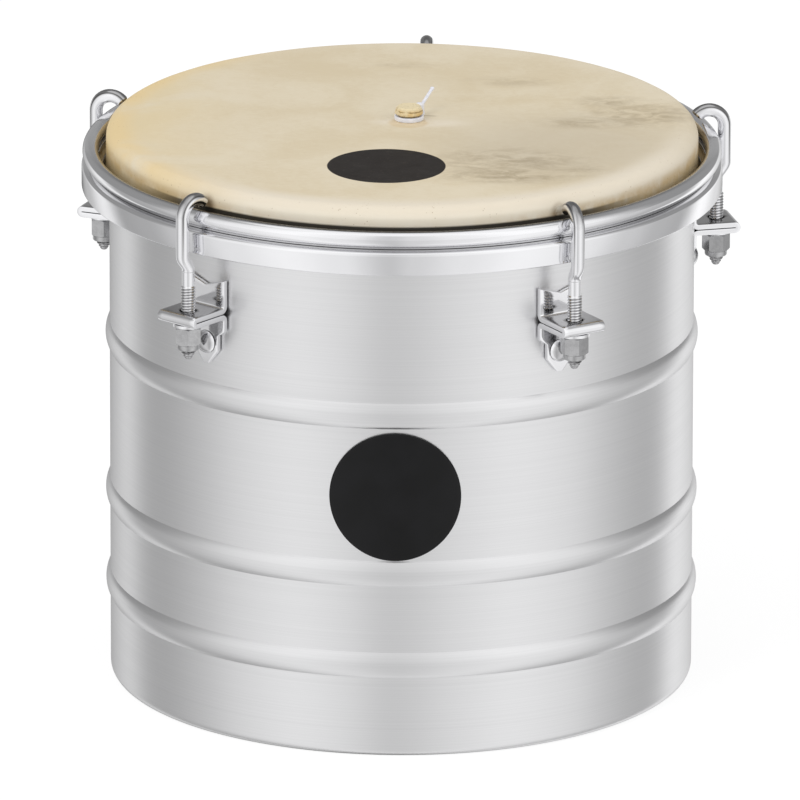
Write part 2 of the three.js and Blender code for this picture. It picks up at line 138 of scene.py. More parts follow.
class Signal:
    """A value that varies over a surface, with ordinary arithmetic."""

    def __init__(self, bench: "Bench", socket: bpy.types.NodeSocket) -> None:
        """Wraps one output socket of a node."""
        self.bench = bench
        self.socket = socket

    def math(self, operation: str, *others: "Signal | float") -> "Signal":
        """Gives this value put through a Math node with others."""
        sockets = dict(enumerate((self, *others)))
        return self.bench.node("ShaderNodeMath", {"operation": operation}, sockets)

    def __add__(self, other: "Signal | float") -> "Signal":
        """Adds."""
        return self.math("ADD", other)

    __radd__ = __add__

    def __sub__(self, other: "Signal | float") -> "Signal":
        """Subtracts."""
        return self.math("SUBTRACT", other)

    def __rsub__(self, other: float) -> "Signal":
        """Subtracts this value from a number."""
        return self.bench.node("ShaderNodeMath", {"operation": "SUBTRACT"}, {0: other, 1: self})

    def __mul__(self, other: "Signal | float") -> "Signal":
        """Multiplies."""
        return self.math("MULTIPLY", other)

    __rmul__ = __mul__

    def between(self, low: float, high: float, start: float = 0.0, end: float = 1.0) -> "Signal":
        """Eases from one value to another while this value goes from low to high.

        Args:
            low: Where the change starts.
            high: Where the change ends.
            start: The result at or before low.
            end: The result at or past high.

        Returns:
            The eased value.
        """
        settings = {"interpolation_type": "SMOOTHSTEP"}
        return self.bench.node("ShaderNodeMapRange", settings, {0: self, 1: low, 2: high, 3: start, 4: end})


class Bench:
    """The node tree of one material or of the world."""

    def __init__(self, tree: bpy.types.NodeTree) -> None:
        """Takes the tree to work on."""
        self.tree = tree

    def node(self, kind: str, settings: dict | None = None, sockets: dict | None = None,
             output: int | str = 0) -> Signal:
        """Makes one node.

        Args:
            kind: The node's type.
            settings: The node's own settings, and under "stops" the stops of a colour ramp.
            sockets: Values or signals, by the index or the name of the input socket.
            output: The index or the name of the output socket to give back.

        Returns:
            The signal of that output.
        """
        made = self.tree.nodes.new(kind)
        for key, value in (settings or {}).items():
            if key == "stops":
                self._set_stops(made.color_ramp, value)
            else:
                setattr(made, key, value)
        for key, value in (sockets or {}).items():
            if isinstance(value, Signal):
                self.tree.links.new(value.socket, made.inputs[key])
            else:
                made.inputs[key].default_value = value
        return Signal(self, made.outputs[output])

    @staticmethod
    def _set_stops(ramp: bpy.types.ColorRamp, stops: Sequence[tuple[float, float]]) -> None:
        """Gives a ramp its stops.

        Args:
            ramp: The ramp.
            stops: The stops, each a place from 0 to 1 and a grey level.
        """
        ramp.interpolation = "EASE"
        while len(ramp.elements) < len(stops):
            ramp.elements.new(0.5)
        for element, (place, level) in zip(ramp.elements, stops):
            element.position = place
            element.color = (level, level, level, 1.0)

    def place(self, scale: Sequence[float] = (1, 1, 1), move: Sequence[float] = (0, 0, 0)) -> Signal:
        """Gives Object coordinates, moved and then scaled.

        Args:
            scale: How much each axis is stretched.
            move: The place that becomes the middle, in metres.

        Returns:
            The coordinates.
        """
        coordinates = self.node("ShaderNodeTexCoord", output="Object")
        moved = self.node("ShaderNodeVectorMath", {"operation": "SUBTRACT"}, {0: coordinates, 1: tuple(move)})
        return self.node("ShaderNodeVectorMath", {"operation": "MULTIPLY"}, {0: moved, 1: tuple(scale)})

    def axes(self, vector: Signal) -> tuple[Signal, Signal, Signal]:
        """Splits a vector into its three parts."""
        outputs = self.node("ShaderNodeSeparateXYZ", sockets={0: vector}).socket.node.outputs
        return Signal(self, outputs[0]), Signal(self, outputs[1]), Signal(self, outputs[2])

    def length(self, vector: Signal) -> Signal:
        """Gives the length of a vector."""
        return self.node("ShaderNodeVectorMath", {"operation": "LENGTH"}, {0: vector}, output="Value")

    def cloud(self, vector: Signal, scale: float, detail: float = 3.0, rough: float = 0.5,
              bend: float = 0.0) -> Signal:
        """Gives soft noise between 0 and 1.

        Args:
            vector: Where the noise is read.
            scale: How many blotches there are to a unit of the vector.
            detail: How many finer layers it has.
            rough: How strong the finer layers are.
            bend: How much the pattern is distorted.

        Returns:
            The noise value.
        """
        sockets = {"Vector": vector, "Scale": scale, "Detail": detail, "Roughness": rough, "Distortion": bend}
        return self.node("ShaderNodeTexNoise", sockets=sockets)

    def dots(self, vector: Signal, scale: float) -> Signal:
        """Gives the distance to scattered points."""
        sockets = {"Vector": vector, "Scale": scale, "Randomness": 1.0}
        return self.node("ShaderNodeTexVoronoi", {"feature": "F1"}, sockets, output="Distance")

    def blend(self, share: Signal | float, first: Signal | Colour, second: Signal | Colour) -> Signal:
        """Gives one colour mixed into another by a share."""
        settings = {"data_type": "RGBA", "clamp_factor": True}
        return self.node("ShaderNodeMix", settings, {0: share, 6: first, 7: second}, output=2)

    def bump(self, height: Signal, depth: float, strength: float) -> Signal:
        """Gives a normal that follows a height, whose step of 1 stands for a depth in metres."""
        sockets = {"Height": height, "Distance": depth, "Strength": strength}
        return self.node("ShaderNodeBump", sockets=sockets, output="Normal")


class Dressed:
    """A material with one Principled shader, ready for signals and constants."""

    def __init__(self, name: str) -> None:
        """Makes an empty material of that name.

        Args:
            name: Its name.
        """
        self.material = bpy.data.materials.new(name)
        self.material.use_nodes = True
        self.bench = Bench(self.material.node_tree)
        self.shader = self.material.node_tree.nodes["Principled BSDF"]

    def set(self, **values: Signal | float | Colour) -> None:
        """Sets sockets of the shader.

        Args:
            **values: Signals or constants, by the socket's name with underscores for its spaces.
        """
        for key, value in values.items():
            socket = self.shader.inputs[key.replace("_", " ")]
            if isinstance(value, Signal):
                self.bench.tree.links.new(value.socket, socket)
            else:
                socket.default_value = value


# Finishes


@dataclass(frozen=True)
class BrushedSteel:
    """Sheet steel brushed round the drum, with fine lines that run level."""

    name: str = "brushed_shell_steel"
    slot: Slot = Slot.SHELL
    bright: Colour = tone(228, 228, 229)
    dull: Colour = tone(223, 223, 224)
    line_depth: float = 0.000006
    smooth: float = 0.29
    rough: float = 0.33

    def material(self) -> bpy.types.Material:
        """Makes the material.

        Returns:
            The material.
        """
        made = Dressed(self.name)
        bench = made.bench
        fine = bench.cloud(bench.place((3.0, 3.0, 2600.0)), 1.0, 4.0, 0.6)
        coarse = bench.cloud(bench.place((1.2, 1.2, 520.0)), 1.0, 3.0, 0.55)
        patches = bench.cloud(bench.place((6, 6, 9)), 1.0, 2.0)
        lines = fine * 0.75 + coarse * 0.25
        colour = bench.blend(lines.between(0.3, 0.7), self.dull, self.bright)
        gloss = (lines * 0.5 + patches * 0.5).between(0.32, 0.68, self.rough, self.smooth)
        made.set(Base_Color=colour, Metallic=1.0, Roughness=gloss, Normal=bench.bump(lines, self.line_depth, 0.4))
        return made.material


@dataclass(frozen=True)
class Chrome:
    """Bright chrome plate, with the faint waviness of plated drawn steel, and painted shade and painted dark
    reflections where its vertices are marked.
    """

    name: str = "chrome_plate"
    slot: Slot = Slot.CHROME
    colour: Colour = tone(236, 236, 238)
    # The colour that marked vertices blend to: painted shade in thread roots and creases, painted dark reflections
    # elsewhere.
    painted_shade: Colour = tone(62, 60, 58)
    gloss: float = 0.07
    haze: float = 0.14

    def material(self) -> bpy.types.Material:
        """Makes the material.

        Returns:
            The material.
        """
        made = Dressed(self.name)
        bench = made.bench
        here = bench.place()
        wave = bench.cloud(here, 90.0, 2.0)
        groove = bench.node("ShaderNodeAttribute", {"attribute_name": PAINTED_SHADE_LAYER}, output="Fac")
        colour = bench.blend(groove, self.colour, self.painted_shade)
        haze = bench.cloud(here, 260.0, 4.0, 0.6).between(0.42, 0.72, self.gloss, self.haze)
        made.set(Base_Color=colour, Metallic=1.0, Roughness=haze + groove * 0.2,
                 Normal=bench.bump(wave, 0.0001, 0.4))
        return made.material


@dataclass(frozen=True)
class Zinc:
    """Dull zinc plate on cut steel, with fine tool marks."""

    name: str = "zinc_plate"
    slot: Slot = Slot.ZINC
    light: Colour = tone(186, 186, 187)
    dark: Colour = tone(174, 174, 175)

    def material(self) -> bpy.types.Material:
        """Makes the material.

        Returns:
            The material.
        """
        made = Dressed(self.name)
        bench = made.bench
        here = bench.place()
        stain = bench.cloud(here, 300.0, 5.0, 0.65)
        grit = bench.cloud(here, 1600.0, 3.0, 0.6)
        colour = bench.blend(stain.between(0.38, 0.68), self.light, self.dark)
        made.set(Base_Color=colour, Metallic=1.0, Roughness=stain.between(0.3, 0.7, 0.2, 0.26),
                 Normal=bench.bump(grit, 0.000004, 0.3))
        return made.material


@dataclass(frozen=True)
class Goatskin:
    """Natural goatskin: cream, clouded and smudged, with pores, a pale front shoulder and a plain dark print."""

    name: str = "goatskin_head"
    slot: Slot = Slot.GOATSKIN
    cream: Colour = tone(224, 212, 187)
    tan: Colour = tone(215, 200, 170)
    yellow: Colour = tone(226, 207, 164)
    golden: Colour = tone(204, 172, 112)
    honey: Colour = tone(230, 203, 148)
    pale: Colour = tone(230, 220, 202)
    lit: Colour = tone(252, 244, 226)
    grey: Colour = tone(196, 184, 162)
    smudge: Colour = tone(150, 134, 106)
    pore: Colour = tone(150, 118, 76)
    ink: Colour = tone(25, 17, 11)
    stain: Colour = tone(134, 102, 60)
    shade: Colour = tone(186, 166, 126)
    gap: Colour = tone(24, 22, 20)
    print_centre: Point = (-1.7, -70.55)
    print_radius: float = 25.5
    tie_centre: Point = (TIE_CENTRE[0], TIE_CENTRE[1] + AXIS_Y)
    tip_radius: float = 128.9
    tip_height: float = 239.8
    # Where masks start and end, in metres: how high, how far out, or how far to the front.
    print_edge: Point = (0.2440, 0.2455)
    lit_edge: Point = (0.2455, 0.2420)
    golden_edge: Point = (0.2445, 0.2385)
    shaded_side: Point = (0.2396, 0.2360)
    gap_top: Point = (0.2394, 0.2384)
    gap_foot: Point = (0.2298, 0.2312)
    pale_rim: Point = (0.1115, 0.1235)
    honey_rim: Point = (0.113, 0.124)
    lit_front: Point = (-0.06, -0.11)
    gap_front: Point = (-0.07, -0.11)
    # Each smudge is its middle, its two reaches in millimetres, and its strength.
    smudges: tuple[tuple[float, float, float, float, float], ...] = (
        (104, 15, 32, 24, 0.85), (88, 34, 18, 12, 0.7), (78, 1, 20, 10, 0.7), (50, -60, 38, 24, 0.85),
        (50, -80, 34, 14, 1.0), (80, -71, 22, 12, 0.6), (42, 62, 22, 9, 0.4), (-6, 84, 14, 6, 0.35),
    )

    def material(self) -> bpy.types.Material:
        """Makes the material.

        Returns:
            The material.
        """
        made = Dressed(self.name)
        bench = made.bench
        here = bench.place()
        across, deep, up = bench.axes(here)
        out = bench.length(bench.place((1, 1, 0), (0, AXIS_Y * METRES, 0)))
        drift = bench.cloud(here, 20.0, 4.0, 0.55, 0.8)
        small = bench.cloud(here, 110.0, 5.0, 0.6)
        fibres = bench.cloud(bench.place((1.0, 1.35, 1.0)), 170.0, 6.0, 0.65, 1.5)
        colour = bench.blend((drift * 0.65 + fibres * 0.35).between(0.34, 0.66), self.cream, self.tan)
        colour = bench.blend(across.between(-0.06, -0.12) * drift.between(0.25, 0.6) * 0.6, colour, self.yellow)
        colour = self.smudged(bench, colour, fibres, small)
        # The shoulder is palest at the front and honey-coloured on the left, and a painted highlight lights its outer
        # side at the front.
        front = deep.between(0.02, -0.07, 0.2, 1.0) * across.between(-0.12, -0.05, 0.1, 1.0)
        colour = bench.blend(out.between(*self.pale_rim) * front * 0.9, colour, self.pale)
        colour = bench.blend(up.between(*self.lit_edge) * deep.between(*self.lit_front) * 0.6, colour, self.lit)
        left = across.between(-0.05, -0.11) * out.between(*self.honey_rim) * drift.between(0.25, 0.55)
        colour = bench.blend(left * 0.65, colour, self.honey)
        colour = self.edged(bench, colour, small)
        colour = self.tied(bench, colour, small)
        pores = bench.dots(here, 520.0).between(0.16, 0.07) * small.between(0.45, 0.62)
        colour = bench.blend(pores * (out.between(0.112, 0.124) * 0.5 + 0.1), colour, self.pore)
        inked = self.printed(bench, small, up)
        colour = bench.blend(inked, colour, self.ink)
        # Below the shoulder the skin is shaded, and darkest in the gap behind the wire.
        colour = bench.blend(up.between(*self.shaded_side) * 0.7, colour, self.shade)
        sunk = up.between(*self.gap_top) * up.between(*self.gap_foot) * deep.between(*self.gap_front)
        colour = bench.blend(sunk * 0.96, colour, self.gap)
        height = fibres * 0.5 + small * 0.3 + bench.cloud(here, 900.0, 4.0, 0.6) * 0.2 - pores * 0.4
        made.set(Base_Color=colour, Roughness=(0.62 + small * 0.22) - inked * 0.18,
                 Normal=bench.bump(height, 0.0002, 0.5), Specular_IOR_Level=0.35)
        return made.material

    def spot(self, bench: Bench, middle: Sequence[float], reaches: Sequence[float]) -> Signal:
        """Gives the distance from a place on the skin, 1 at its reaches.

        Args:
            bench: The material's bench.
            middle: The place in millimetres.
            reaches: How far it reaches to the side and in depth.

        Returns:
            The distance.
        """
        scale = (1 / (reaches[0] * METRES), 1 / (reaches[1] * METRES), 0)
        return bench.length(bench.place(scale, (middle[0] * METRES, middle[1] * METRES, 0)))

    def smudged(self, bench: Bench, colour: Signal, fibres: Signal, small: Signal) -> Signal:
        """Adds the grey-brown smudges of the skin's right half.

        Args:
            bench: The material's bench.
            colour: The colour so far.
            fibres: The skin's fibre noise.
            small: Its small noise.

        Returns:
            The new colour.
        """
        broad = self.spot(bench, (74, -38), (86, 76)).between(1.0, 0.2)
        colour = bench.blend(broad * 0.6, colour, self.grey)
        total: Signal | None = None
        for x, y, side, depth, strength in self.smudges:
            mask = self.spot(bench, (x, y), (side, depth)).between(1.25, 0.1) * strength
            total = mask if total is None else total.math("MAXIMUM", mask)
        cloud = bench.cloud(bench.place((1.0, 1.6, 1.0)), 70.0, 6.0, 0.6, 0.9)
        ragged = cloud.between(0.34, 0.68) * 0.75 + fibres.between(0.35, 0.7) * 0.25
        colour = bench.blend(total * ragged * 0.78, colour, self.smudge)
        flecks = bench.cloud(bench.place((1.0, 2.2, 1.0)), 210.0, 5.0, 0.7, 2.5).between(0.56, 0.74)
        return bench.blend(total * flecks * small.between(0.35, 0.6) * 0.35, colour, self.smudge)

    def edged(self, bench: Bench, colour: Signal, small: Signal) -> Signal:
        """Adds the golden outer edge, and under the ends of the hooks the stains where they rub, darkened further by
        the painted shadow of the hooks.

        Args:
            bench: The material's bench.
            colour: The colour so far.
            small: The skin's small noise.

        Returns:
            The new colour.
        """
        across, _, up = bench.axes(bench.place())
        sides = across.math("ABSOLUTE").between(0.03, 0.1, 0.1, 0.7)
        colour = bench.blend(up.between(*self.golden_edge) * sides * small.between(0.25, 0.6), colour, self.golden)
        # Under each hook's end: a rubbed stain, with the painted shadow that the hook casts.
        for angle in LUG_ANGLES:
            spot = (Vector((math.sin(angle), -math.cos(angle), 0)) * self.tip_radius
                    + Vector((0, AXIS_Y, self.tip_height)))
            away = bench.length(bench.place((1, 1, 1), tuple(spot * METRES))) + (small - 0.5) * 0.003
            colour = bench.blend(away.between(0.0060, 0.0012) * small.between(0.25, 0.5) * 0.8, colour, self.stain)
        return colour

    def tied(self, bench: Bench, colour: Signal, small: Signal) -> Signal:
        """Adds the pale stretched skin round the tie, and the painted shadow of the crease beside it.

        Args:
            bench: The material's bench.
            colour: The colour so far.
            small: The skin's small noise.

        Returns:
            The new colour.
        """
        x, y = self.tie_centre
        pale = self.spot(bench, (x + 4, y - 3), (26, 8)).between(1.1, 0.35)
        colour = bench.blend(pale * small.between(0.2, 0.55) * 0.8, colour, self.pale)
        warm = self.spot(bench, (x, y - 4), (8.5, 7.5)).between(1.15, 0.85)
        colour = bench.blend(warm * 0.35, colour, self.golden)
        # A painted shadow along the crease beside the tie, in the smudge colour.
        crease = self.spot(bench, (x + 8.6, y + 7.6), (4.6, 0.8)).between(1.0, 0.3)
        return bench.blend(crease * 0.7, colour, self.smudge)

    def printed(self, bench: Bench, small: Signal, up: Signal) -> Signal:
        """Gives where the plain print lies, with its slightly worn edge.

        Args:
            bench: The material's bench.
            small: The skin's small noise.
            up: The height.

        Returns:
            The share of ink, 0 to 1.
        """
        centre = (self.print_centre[0] * METRES, self.print_centre[1] * METRES, 0)
        edge = bench.length(bench.place((1, 1, 0), centre)) + (small - 0.5) * 0.0004
        radius = self.print_radius * METRES
        worn = 1 - bench.cloud(bench.place(), 900.0, 3.0, 0.6).between(0.6, 0.8) * 0.1
        return edge.between(radius + 0.0002, radius - 0.0002) * up.between(*self.print_edge) * worn


@dataclass(frozen=True)
class GatheredSkin:
    """The skin's button: dried, creased and yellower than the head."""

    name: str = "goatskin_button"
    slot: Slot = Slot.GOATSKIN
    light: Colour = tone(230, 214, 176)
    dark: Colour = tone(220, 190, 132)
    # The colour of the painted shade in the folds, the seam and the foot.
    crease: Colour = tone(142, 116, 74)
    centre: Triple = (TIE_CENTRE[0], TIE_CENTRE[1] + AXIS_Y, 250.0)
    # Heights in metres: where the yellow side starts and ends, the seam's painted shade, and the painted shade of the
    # foot.
    side: Point = (0.2538, 0.2520)
    seam: float = 0.2527
    foot: Point = (0.2508, 0.2502)

    def material(self) -> bpy.types.Material:
        """Makes the material.

        Returns:
            The material.
        """
        made = Dressed(self.name)
        bench = made.bench
        centre = tuple(value * METRES for value in self.centre)
        folds = bench.cloud(bench.place((1, 1, 0.4), centre), 760.0, 4.0, 0.6, 0.8)
        blotch = bench.cloud(bench.place((1, 1, 1), centre), 260.0, 4.0, 0.6)
        up = bench.axes(bench.place())[2]
        colour = bench.blend(blotch.between(0.36, 0.68) * up.between(*self.side), self.light, self.dark)
        # Painted shade darkens the valleys of the folds, the seam at the knob's waist and the foot under the knob.
        colour = bench.blend(folds.between(0.42, 0.28) * 0.75, colour, self.crease)
        seam = (up + blotch * 0.0008 - self.seam).math("ABSOLUTE").between(0.00045, 0.0001)
        colour = bench.blend(seam * blotch.between(0.38, 0.58) * 0.7, colour, self.crease)
        colour = bench.blend(up.between(*self.foot) * 0.7, colour, self.crease)
        made.set(Base_Color=colour, Roughness=0.55 + blotch * 0.2, Normal=bench.bump(folds, 0.0005, 0.7))
        return made.material


@dataclass(frozen=True)
class Bamboo:
    """Scraped bamboo with long fibres and darker rings at its nodes."""

    name: str = "scraped_bamboo"
    slot: Slot = Slot.BAMBOO
    light: Colour = tone(216, 186, 128)
    dark: Colour = tone(176, 138, 80)
    ring: Colour = tone(120, 84, 44)

    def material(self) -> bpy.types.Material:
        """Makes the material.

        Returns:
            The material.
        """
        made = Dressed(self.name)
        bench = made.bench
        fibres = bench.cloud(bench.place((900, 900, 14)), 1.0, 4.0, 0.6)
        drift = bench.cloud(bench.place((60, 60, 9)), 1.0, 3.0)
        up = bench.axes(bench.place())[2]
        colour = bench.blend((fibres * 0.6 + drift * 0.4).between(0.35, 0.68), self.light, self.dark)
        for height in BAMBOO_NODES:
            away = (up - height * METRES).math("ABSOLUTE")
            colour = bench.blend(away.between(0.0035, 0.0004) * 0.75, colour, self.ring)
        made.set(Base_Color=colour, Roughness=0.42 + fibres * 0.2, Normal=bench.bump(fibres, 0.00012, 0.6))
        return made.material


@dataclass(frozen=True)
class Nylon:
    """Milky nylon, a little glossy."""

    name: str = "milky_nylon"
    slot: Slot = Slot.NYLON
    colour: Colour = tone(236, 236, 242)
    shade: Colour = tone(222, 224, 233)

    def material(self) -> bpy.types.Material:
        """Makes the material.

        Returns:
            The material.
        """
        made = Dressed(self.name)
        bench = made.bench
        mist = bench.cloud(bench.place(), 500.0, 3.0)
        made.set(Base_Color=bench.blend(mist.between(0.35, 0.7), self.colour, self.shade),
                 Roughness=mist.between(0.3, 0.7, 0.26, 0.4), Normal=bench.bump(mist, 0.00004, 0.4))
        return made.material


@dataclass(frozen=True)
class BadgeFoil:
    """Black printed foil with a faint grain and a soft sheen."""

    name: str = "black_foil"
    slot: Slot = Slot.BADGE
    black: Colour = tone(12, 12, 13)
    grey: Colour = tone(17, 17, 19)

    def material(self) -> bpy.types.Material:
        """Makes the material.

        Returns:
            The material.
        """
        made = Dressed(self.name)
        bench = made.bench
        grain = bench.cloud(bench.place(), 1400.0, 4.0, 0.6)
        cloud = bench.cloud(bench.place(), 60.0, 3.0)
        made.set(Base_Color=bench.blend(cloud.between(0.3, 0.7), self.black, self.grey),
                 Roughness=(grain * 0.5 + cloud * 0.5).between(0.3, 0.7, 0.3, 0.42), Specular_IOR_Level=0.22,
                 Normal=bench.bump(grain, 0.00002, 0.35))
        return made.material


Finish = BrushedSteel | Chrome | Zinc | Goatskin | GatheredSkin | Bamboo | Nylon | BadgeFoil


# Shaping tools


def clamped(value: float) -> float:
    """Keeps a value between 0 and 1."""
    return min(1.0, max(0.0, value))


def arc(centre: Point, radius: float, start: float, end: float, steps: int) -> list[Point]:
    """Gives points on an arc, both ends included.

    Args:
        centre: The arc's centre.
        radius: The arc's radius.
        start: The first angle, in degrees.
        end: The last angle, in degrees.
        steps: How many steps lie between the ends.

    Returns:
        The points, in order.
    """
    angles = (math.radians(start + (end - start) * step / steps) for step in range(steps + 1))
    return [(centre[0] + radius * math.cos(angle), centre[1] + radius * math.sin(angle)) for angle in angles]


def spread(start: Point, end: Point, steps: int) -> list[Point]:
    """Gives evenly spaced points from one point up to, but without, another."""
    return [(start[0] + (end[0] - start[0]) * step / steps, start[1] + (end[1] - start[1]) * step / steps)
            for step in range(steps)]


def spun(outline: Sequence[Point], steps: int, closed: bool = True) -> BMesh:
    """Turns an outline of radius and height about the upright axis.

    Args:
        outline: The points, either a closed loop or a line from axis to axis.
        steps: How many steps make the full turn.
        closed: Whether the last point joins the first.

    Returns:
        The closed mesh, with its faces pointing out.
    """
    mesh = bmesh.new()
    verts = [mesh.verts.new((0.0, -radius, height)) for radius, height in outline]
    pairs = list(zip(verts, verts[1:])) + ([(verts[-1], verts[0])] if closed else [])
    edges = [mesh.edges.new(pair) for pair in pairs]
    bmesh.ops.spin(mesh, geom=verts + edges, cent=(0, 0, 0), axis=(0, 0, 1), dvec=(0, 0, 0), angle=TURN,
                   steps=steps, use_merge=True, use_duplicate=False)
    tidy(mesh)
    return mesh


def shaded(mesh: BMesh, rule: Callable[[Vector], float]) -> BMesh:
    """Marks each vertex of a mesh with how dark it is painted, as painted shade and painted dark reflections.

    Args:
        mesh: The mesh.
        rule: Gives the dark of a place, 0 to 1.

    Returns:
        The same mesh.
    """
    mark = mesh.verts.layers.float.get(PAINTED_SHADE_LAYER) or mesh.verts.layers.float.new(PAINTED_SHADE_LAYER)
    for vert in mesh.verts:
        vert[mark] = rule(vert.co)
    return mesh


def tidy(mesh: BMesh) -> None:
    """Merges doubles, drops flat faces and points every face outwards.

    Args:
        mesh: The mesh to clean.
    """
    bmesh.ops.remove_doubles(mesh, verts=mesh.verts, dist=1e-4)
    bmesh.ops.dissolve_degenerate(mesh, edges=mesh.edges, dist=1e-5)
    bmesh.ops.recalc_face_normals(mesh, faces=mesh.faces)


def reshaped(mesh: BMesh, rule: Rule) -> BMesh:
    """Moves each vertex of a mesh.

    Args:
        mesh: The mesh.
        rule: Gives the new place of a place.

    Returns:
        The same mesh.
    """
    for vert in mesh.verts:
        vert.co = rule(vert.co)
    return mesh


def moved(mesh: BMesh, matrix: Matrix) -> BMesh:
    """Puts a whole mesh through a matrix, and gives it back."""
    bmesh.ops.transform(mesh, matrix=matrix, verts=mesh.verts)
    return mesh


def joined(meshes: Iterable[BMesh]) -> BMesh:
    """Puts several closed meshes into one.

    Args:
        meshes: The meshes, which are freed.

    Returns:
        A new mesh.
    """
    whole = bmesh.new()
    for mesh in meshes:
        carrier = bpy.data.meshes.new("carrier")
        mesh.to_mesh(carrier)
        whole.from_mesh(carrier)
        bpy.data.meshes.remove(carrier)
        mesh.free()
    return whole


def eased_edges(mesh: BMesh, width: float, angle: float) -> BMesh:
    """Rounds every edge that is sharper than an angle.

    Args:
        mesh: The mesh to round.
        width: The width of the rounding, in millimetres.
        angle: The least angle between faces, in degrees.

    Returns:
        The same mesh.
    """
    limit = math.radians(angle)
    sharp = [edge for edge in mesh.edges if len(edge.link_faces) == 2 and edge.calc_face_angle(0.0) > limit]
    bmesh.ops.bevel(mesh, geom=sharp, offset=width, offset_type="OFFSET", affect="EDGES", segments=2,
                    profile=0.5, material=-1, clamp_overlap=True)
    return mesh


def cut_out(mesh: BMesh, *cutters: BMesh) -> BMesh:
    """Cuts solids out of a solid.

    Args:
        mesh: The solid to cut, which is freed.
        cutters: The solids to take away, which are freed.

    Returns:
        A new mesh.
    """
    body = as_object(mesh, "cut_body")
    tools = [as_object(cutter, "cut_tool") for cutter in cutters]
    for tool in tools:
        step = body.modifiers.new("cut", "BOOLEAN")
        step.operation = "DIFFERENCE"
        step.solver = "EXACT"
        step.object = tool
    result = body.evaluated_get(bpy.context.evaluated_depsgraph_get()).to_mesh()
    made = bmesh.new()
    made.from_mesh(result)
    for spare in (body, *tools):
        data = spare.data
        bpy.data.objects.remove(spare)
        bpy.data.meshes.remove(data)
    return made


def as_object(mesh: BMesh, name: str) -> bpy.types.Object:
    """Makes a scene object of a mesh.

    Args:
        mesh: The mesh, which is freed.
        name: The object's name.

    Returns:
        The object.
    """
    data = bpy.data.meshes.new(name)
    mesh.to_mesh(data)
    mesh.free()
    made = bpy.data.objects.new(name, data)
    bpy.context.scene.collection.objects.link(made)
    return made


def round_bar(radius: float, start: float, end: float) -> BMesh:
    """Gives a plain upright bar between two heights."""
    return spun([(0.0, start), (radius, start), (radius, end), (0.0, end)], 32, closed=False)


def laid_out(mesh: BMesh, height: float) -> BMesh:
    """Lays an upright piece along the way out of the drum at a height."""
    return moved(mesh, Matrix.Translation((0, 0, height)) @ Matrix.Rotation(math.pi / 2, 4, "X"))


def hexagonal(mesh: BMesh, flats: float, low: float, high: float) -> BMesh:
    """Draws in whatever lies outside a hexagon between two heights, as cutting its flats does.

    Args:
        mesh: A mesh turned about the upright axis.
        flats: The width across the hexagon's flats.
        low: The lowest height that is cut.
        high: The highest height that is cut.

    Returns:
        The same mesh, with a corner of the hexagon at the front.
    """
    def rule(place: Vector) -> Vector:
        """Gives the place that one vertex is drawn in to.

        Args:
            place: The vertex.

        Returns:
            Its new place.
        """
        radius = math.hypot(place.x, place.y)
        if radius < 1e-6 or not low <= place.z <= high:
            return place
        limit = flats / 2 / math.cos(math.atan2(place.x, -place.y) % (math.pi / 3) - math.pi / 6)
        share = min(1.0, limit / radius)
        return Vector((place.x * share, place.y * share, place.z))
    return reshaped(mesh, rule)


class Workbench:
    """Hands finished pieces over to the scene, with one material for each finish."""

    def __init__(self) -> None:
        """Starts with no materials."""
        self.materials: dict[str, bpy.types.Material] = {}

    def dressed(self, finish: Finish) -> bpy.types.Material:
        """Gives a finish's material, made once.

        Args:
            finish: The finish.

        Returns:
            Its material.
        """
        if finish.name not in self.materials:
            self.materials[finish.name] = finish.material()
        return self.materials[finish.name]

    def hand_over(self, mesh: BMesh, name: str, body: Body | str | None, finish: Finish, node: str,
                  crease: float = 32.0) -> bpy.types.Object:
        """Makes a scene piece of a mesh that was shaped about the drum's axis in millimetres.

        Args:
            mesh: The shaped mesh, which is freed.
            name: The piece's name.
            body: The body that it rides on, or None where it rides on none.
            finish: Its finish.
            node: The node that it replaces.
            crease: Edges sharper than this, in degrees, stay sharp.

        Returns:
            The scene object.
        """
        moved(mesh, Matrix.Scale(METRES, 4) @ Matrix.Translation((0, AXIS_Y, 0)))
        piece = as_object(mesh, name)
        piece.data.polygons.foreach_set("use_smooth", [True] * len(piece.data.polygons))
        piece.data.set_sharp_from_angle(angle=math.radians(crease))
        piece.data.materials.append(self.dressed(finish))
        if body is not None:
            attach(piece, body.value if isinstance(body, Body) else body)
        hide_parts(node)
        log.info("%s: %d faces", name, len(piece.data.polygons))
        return piece


# Sub-assemblies


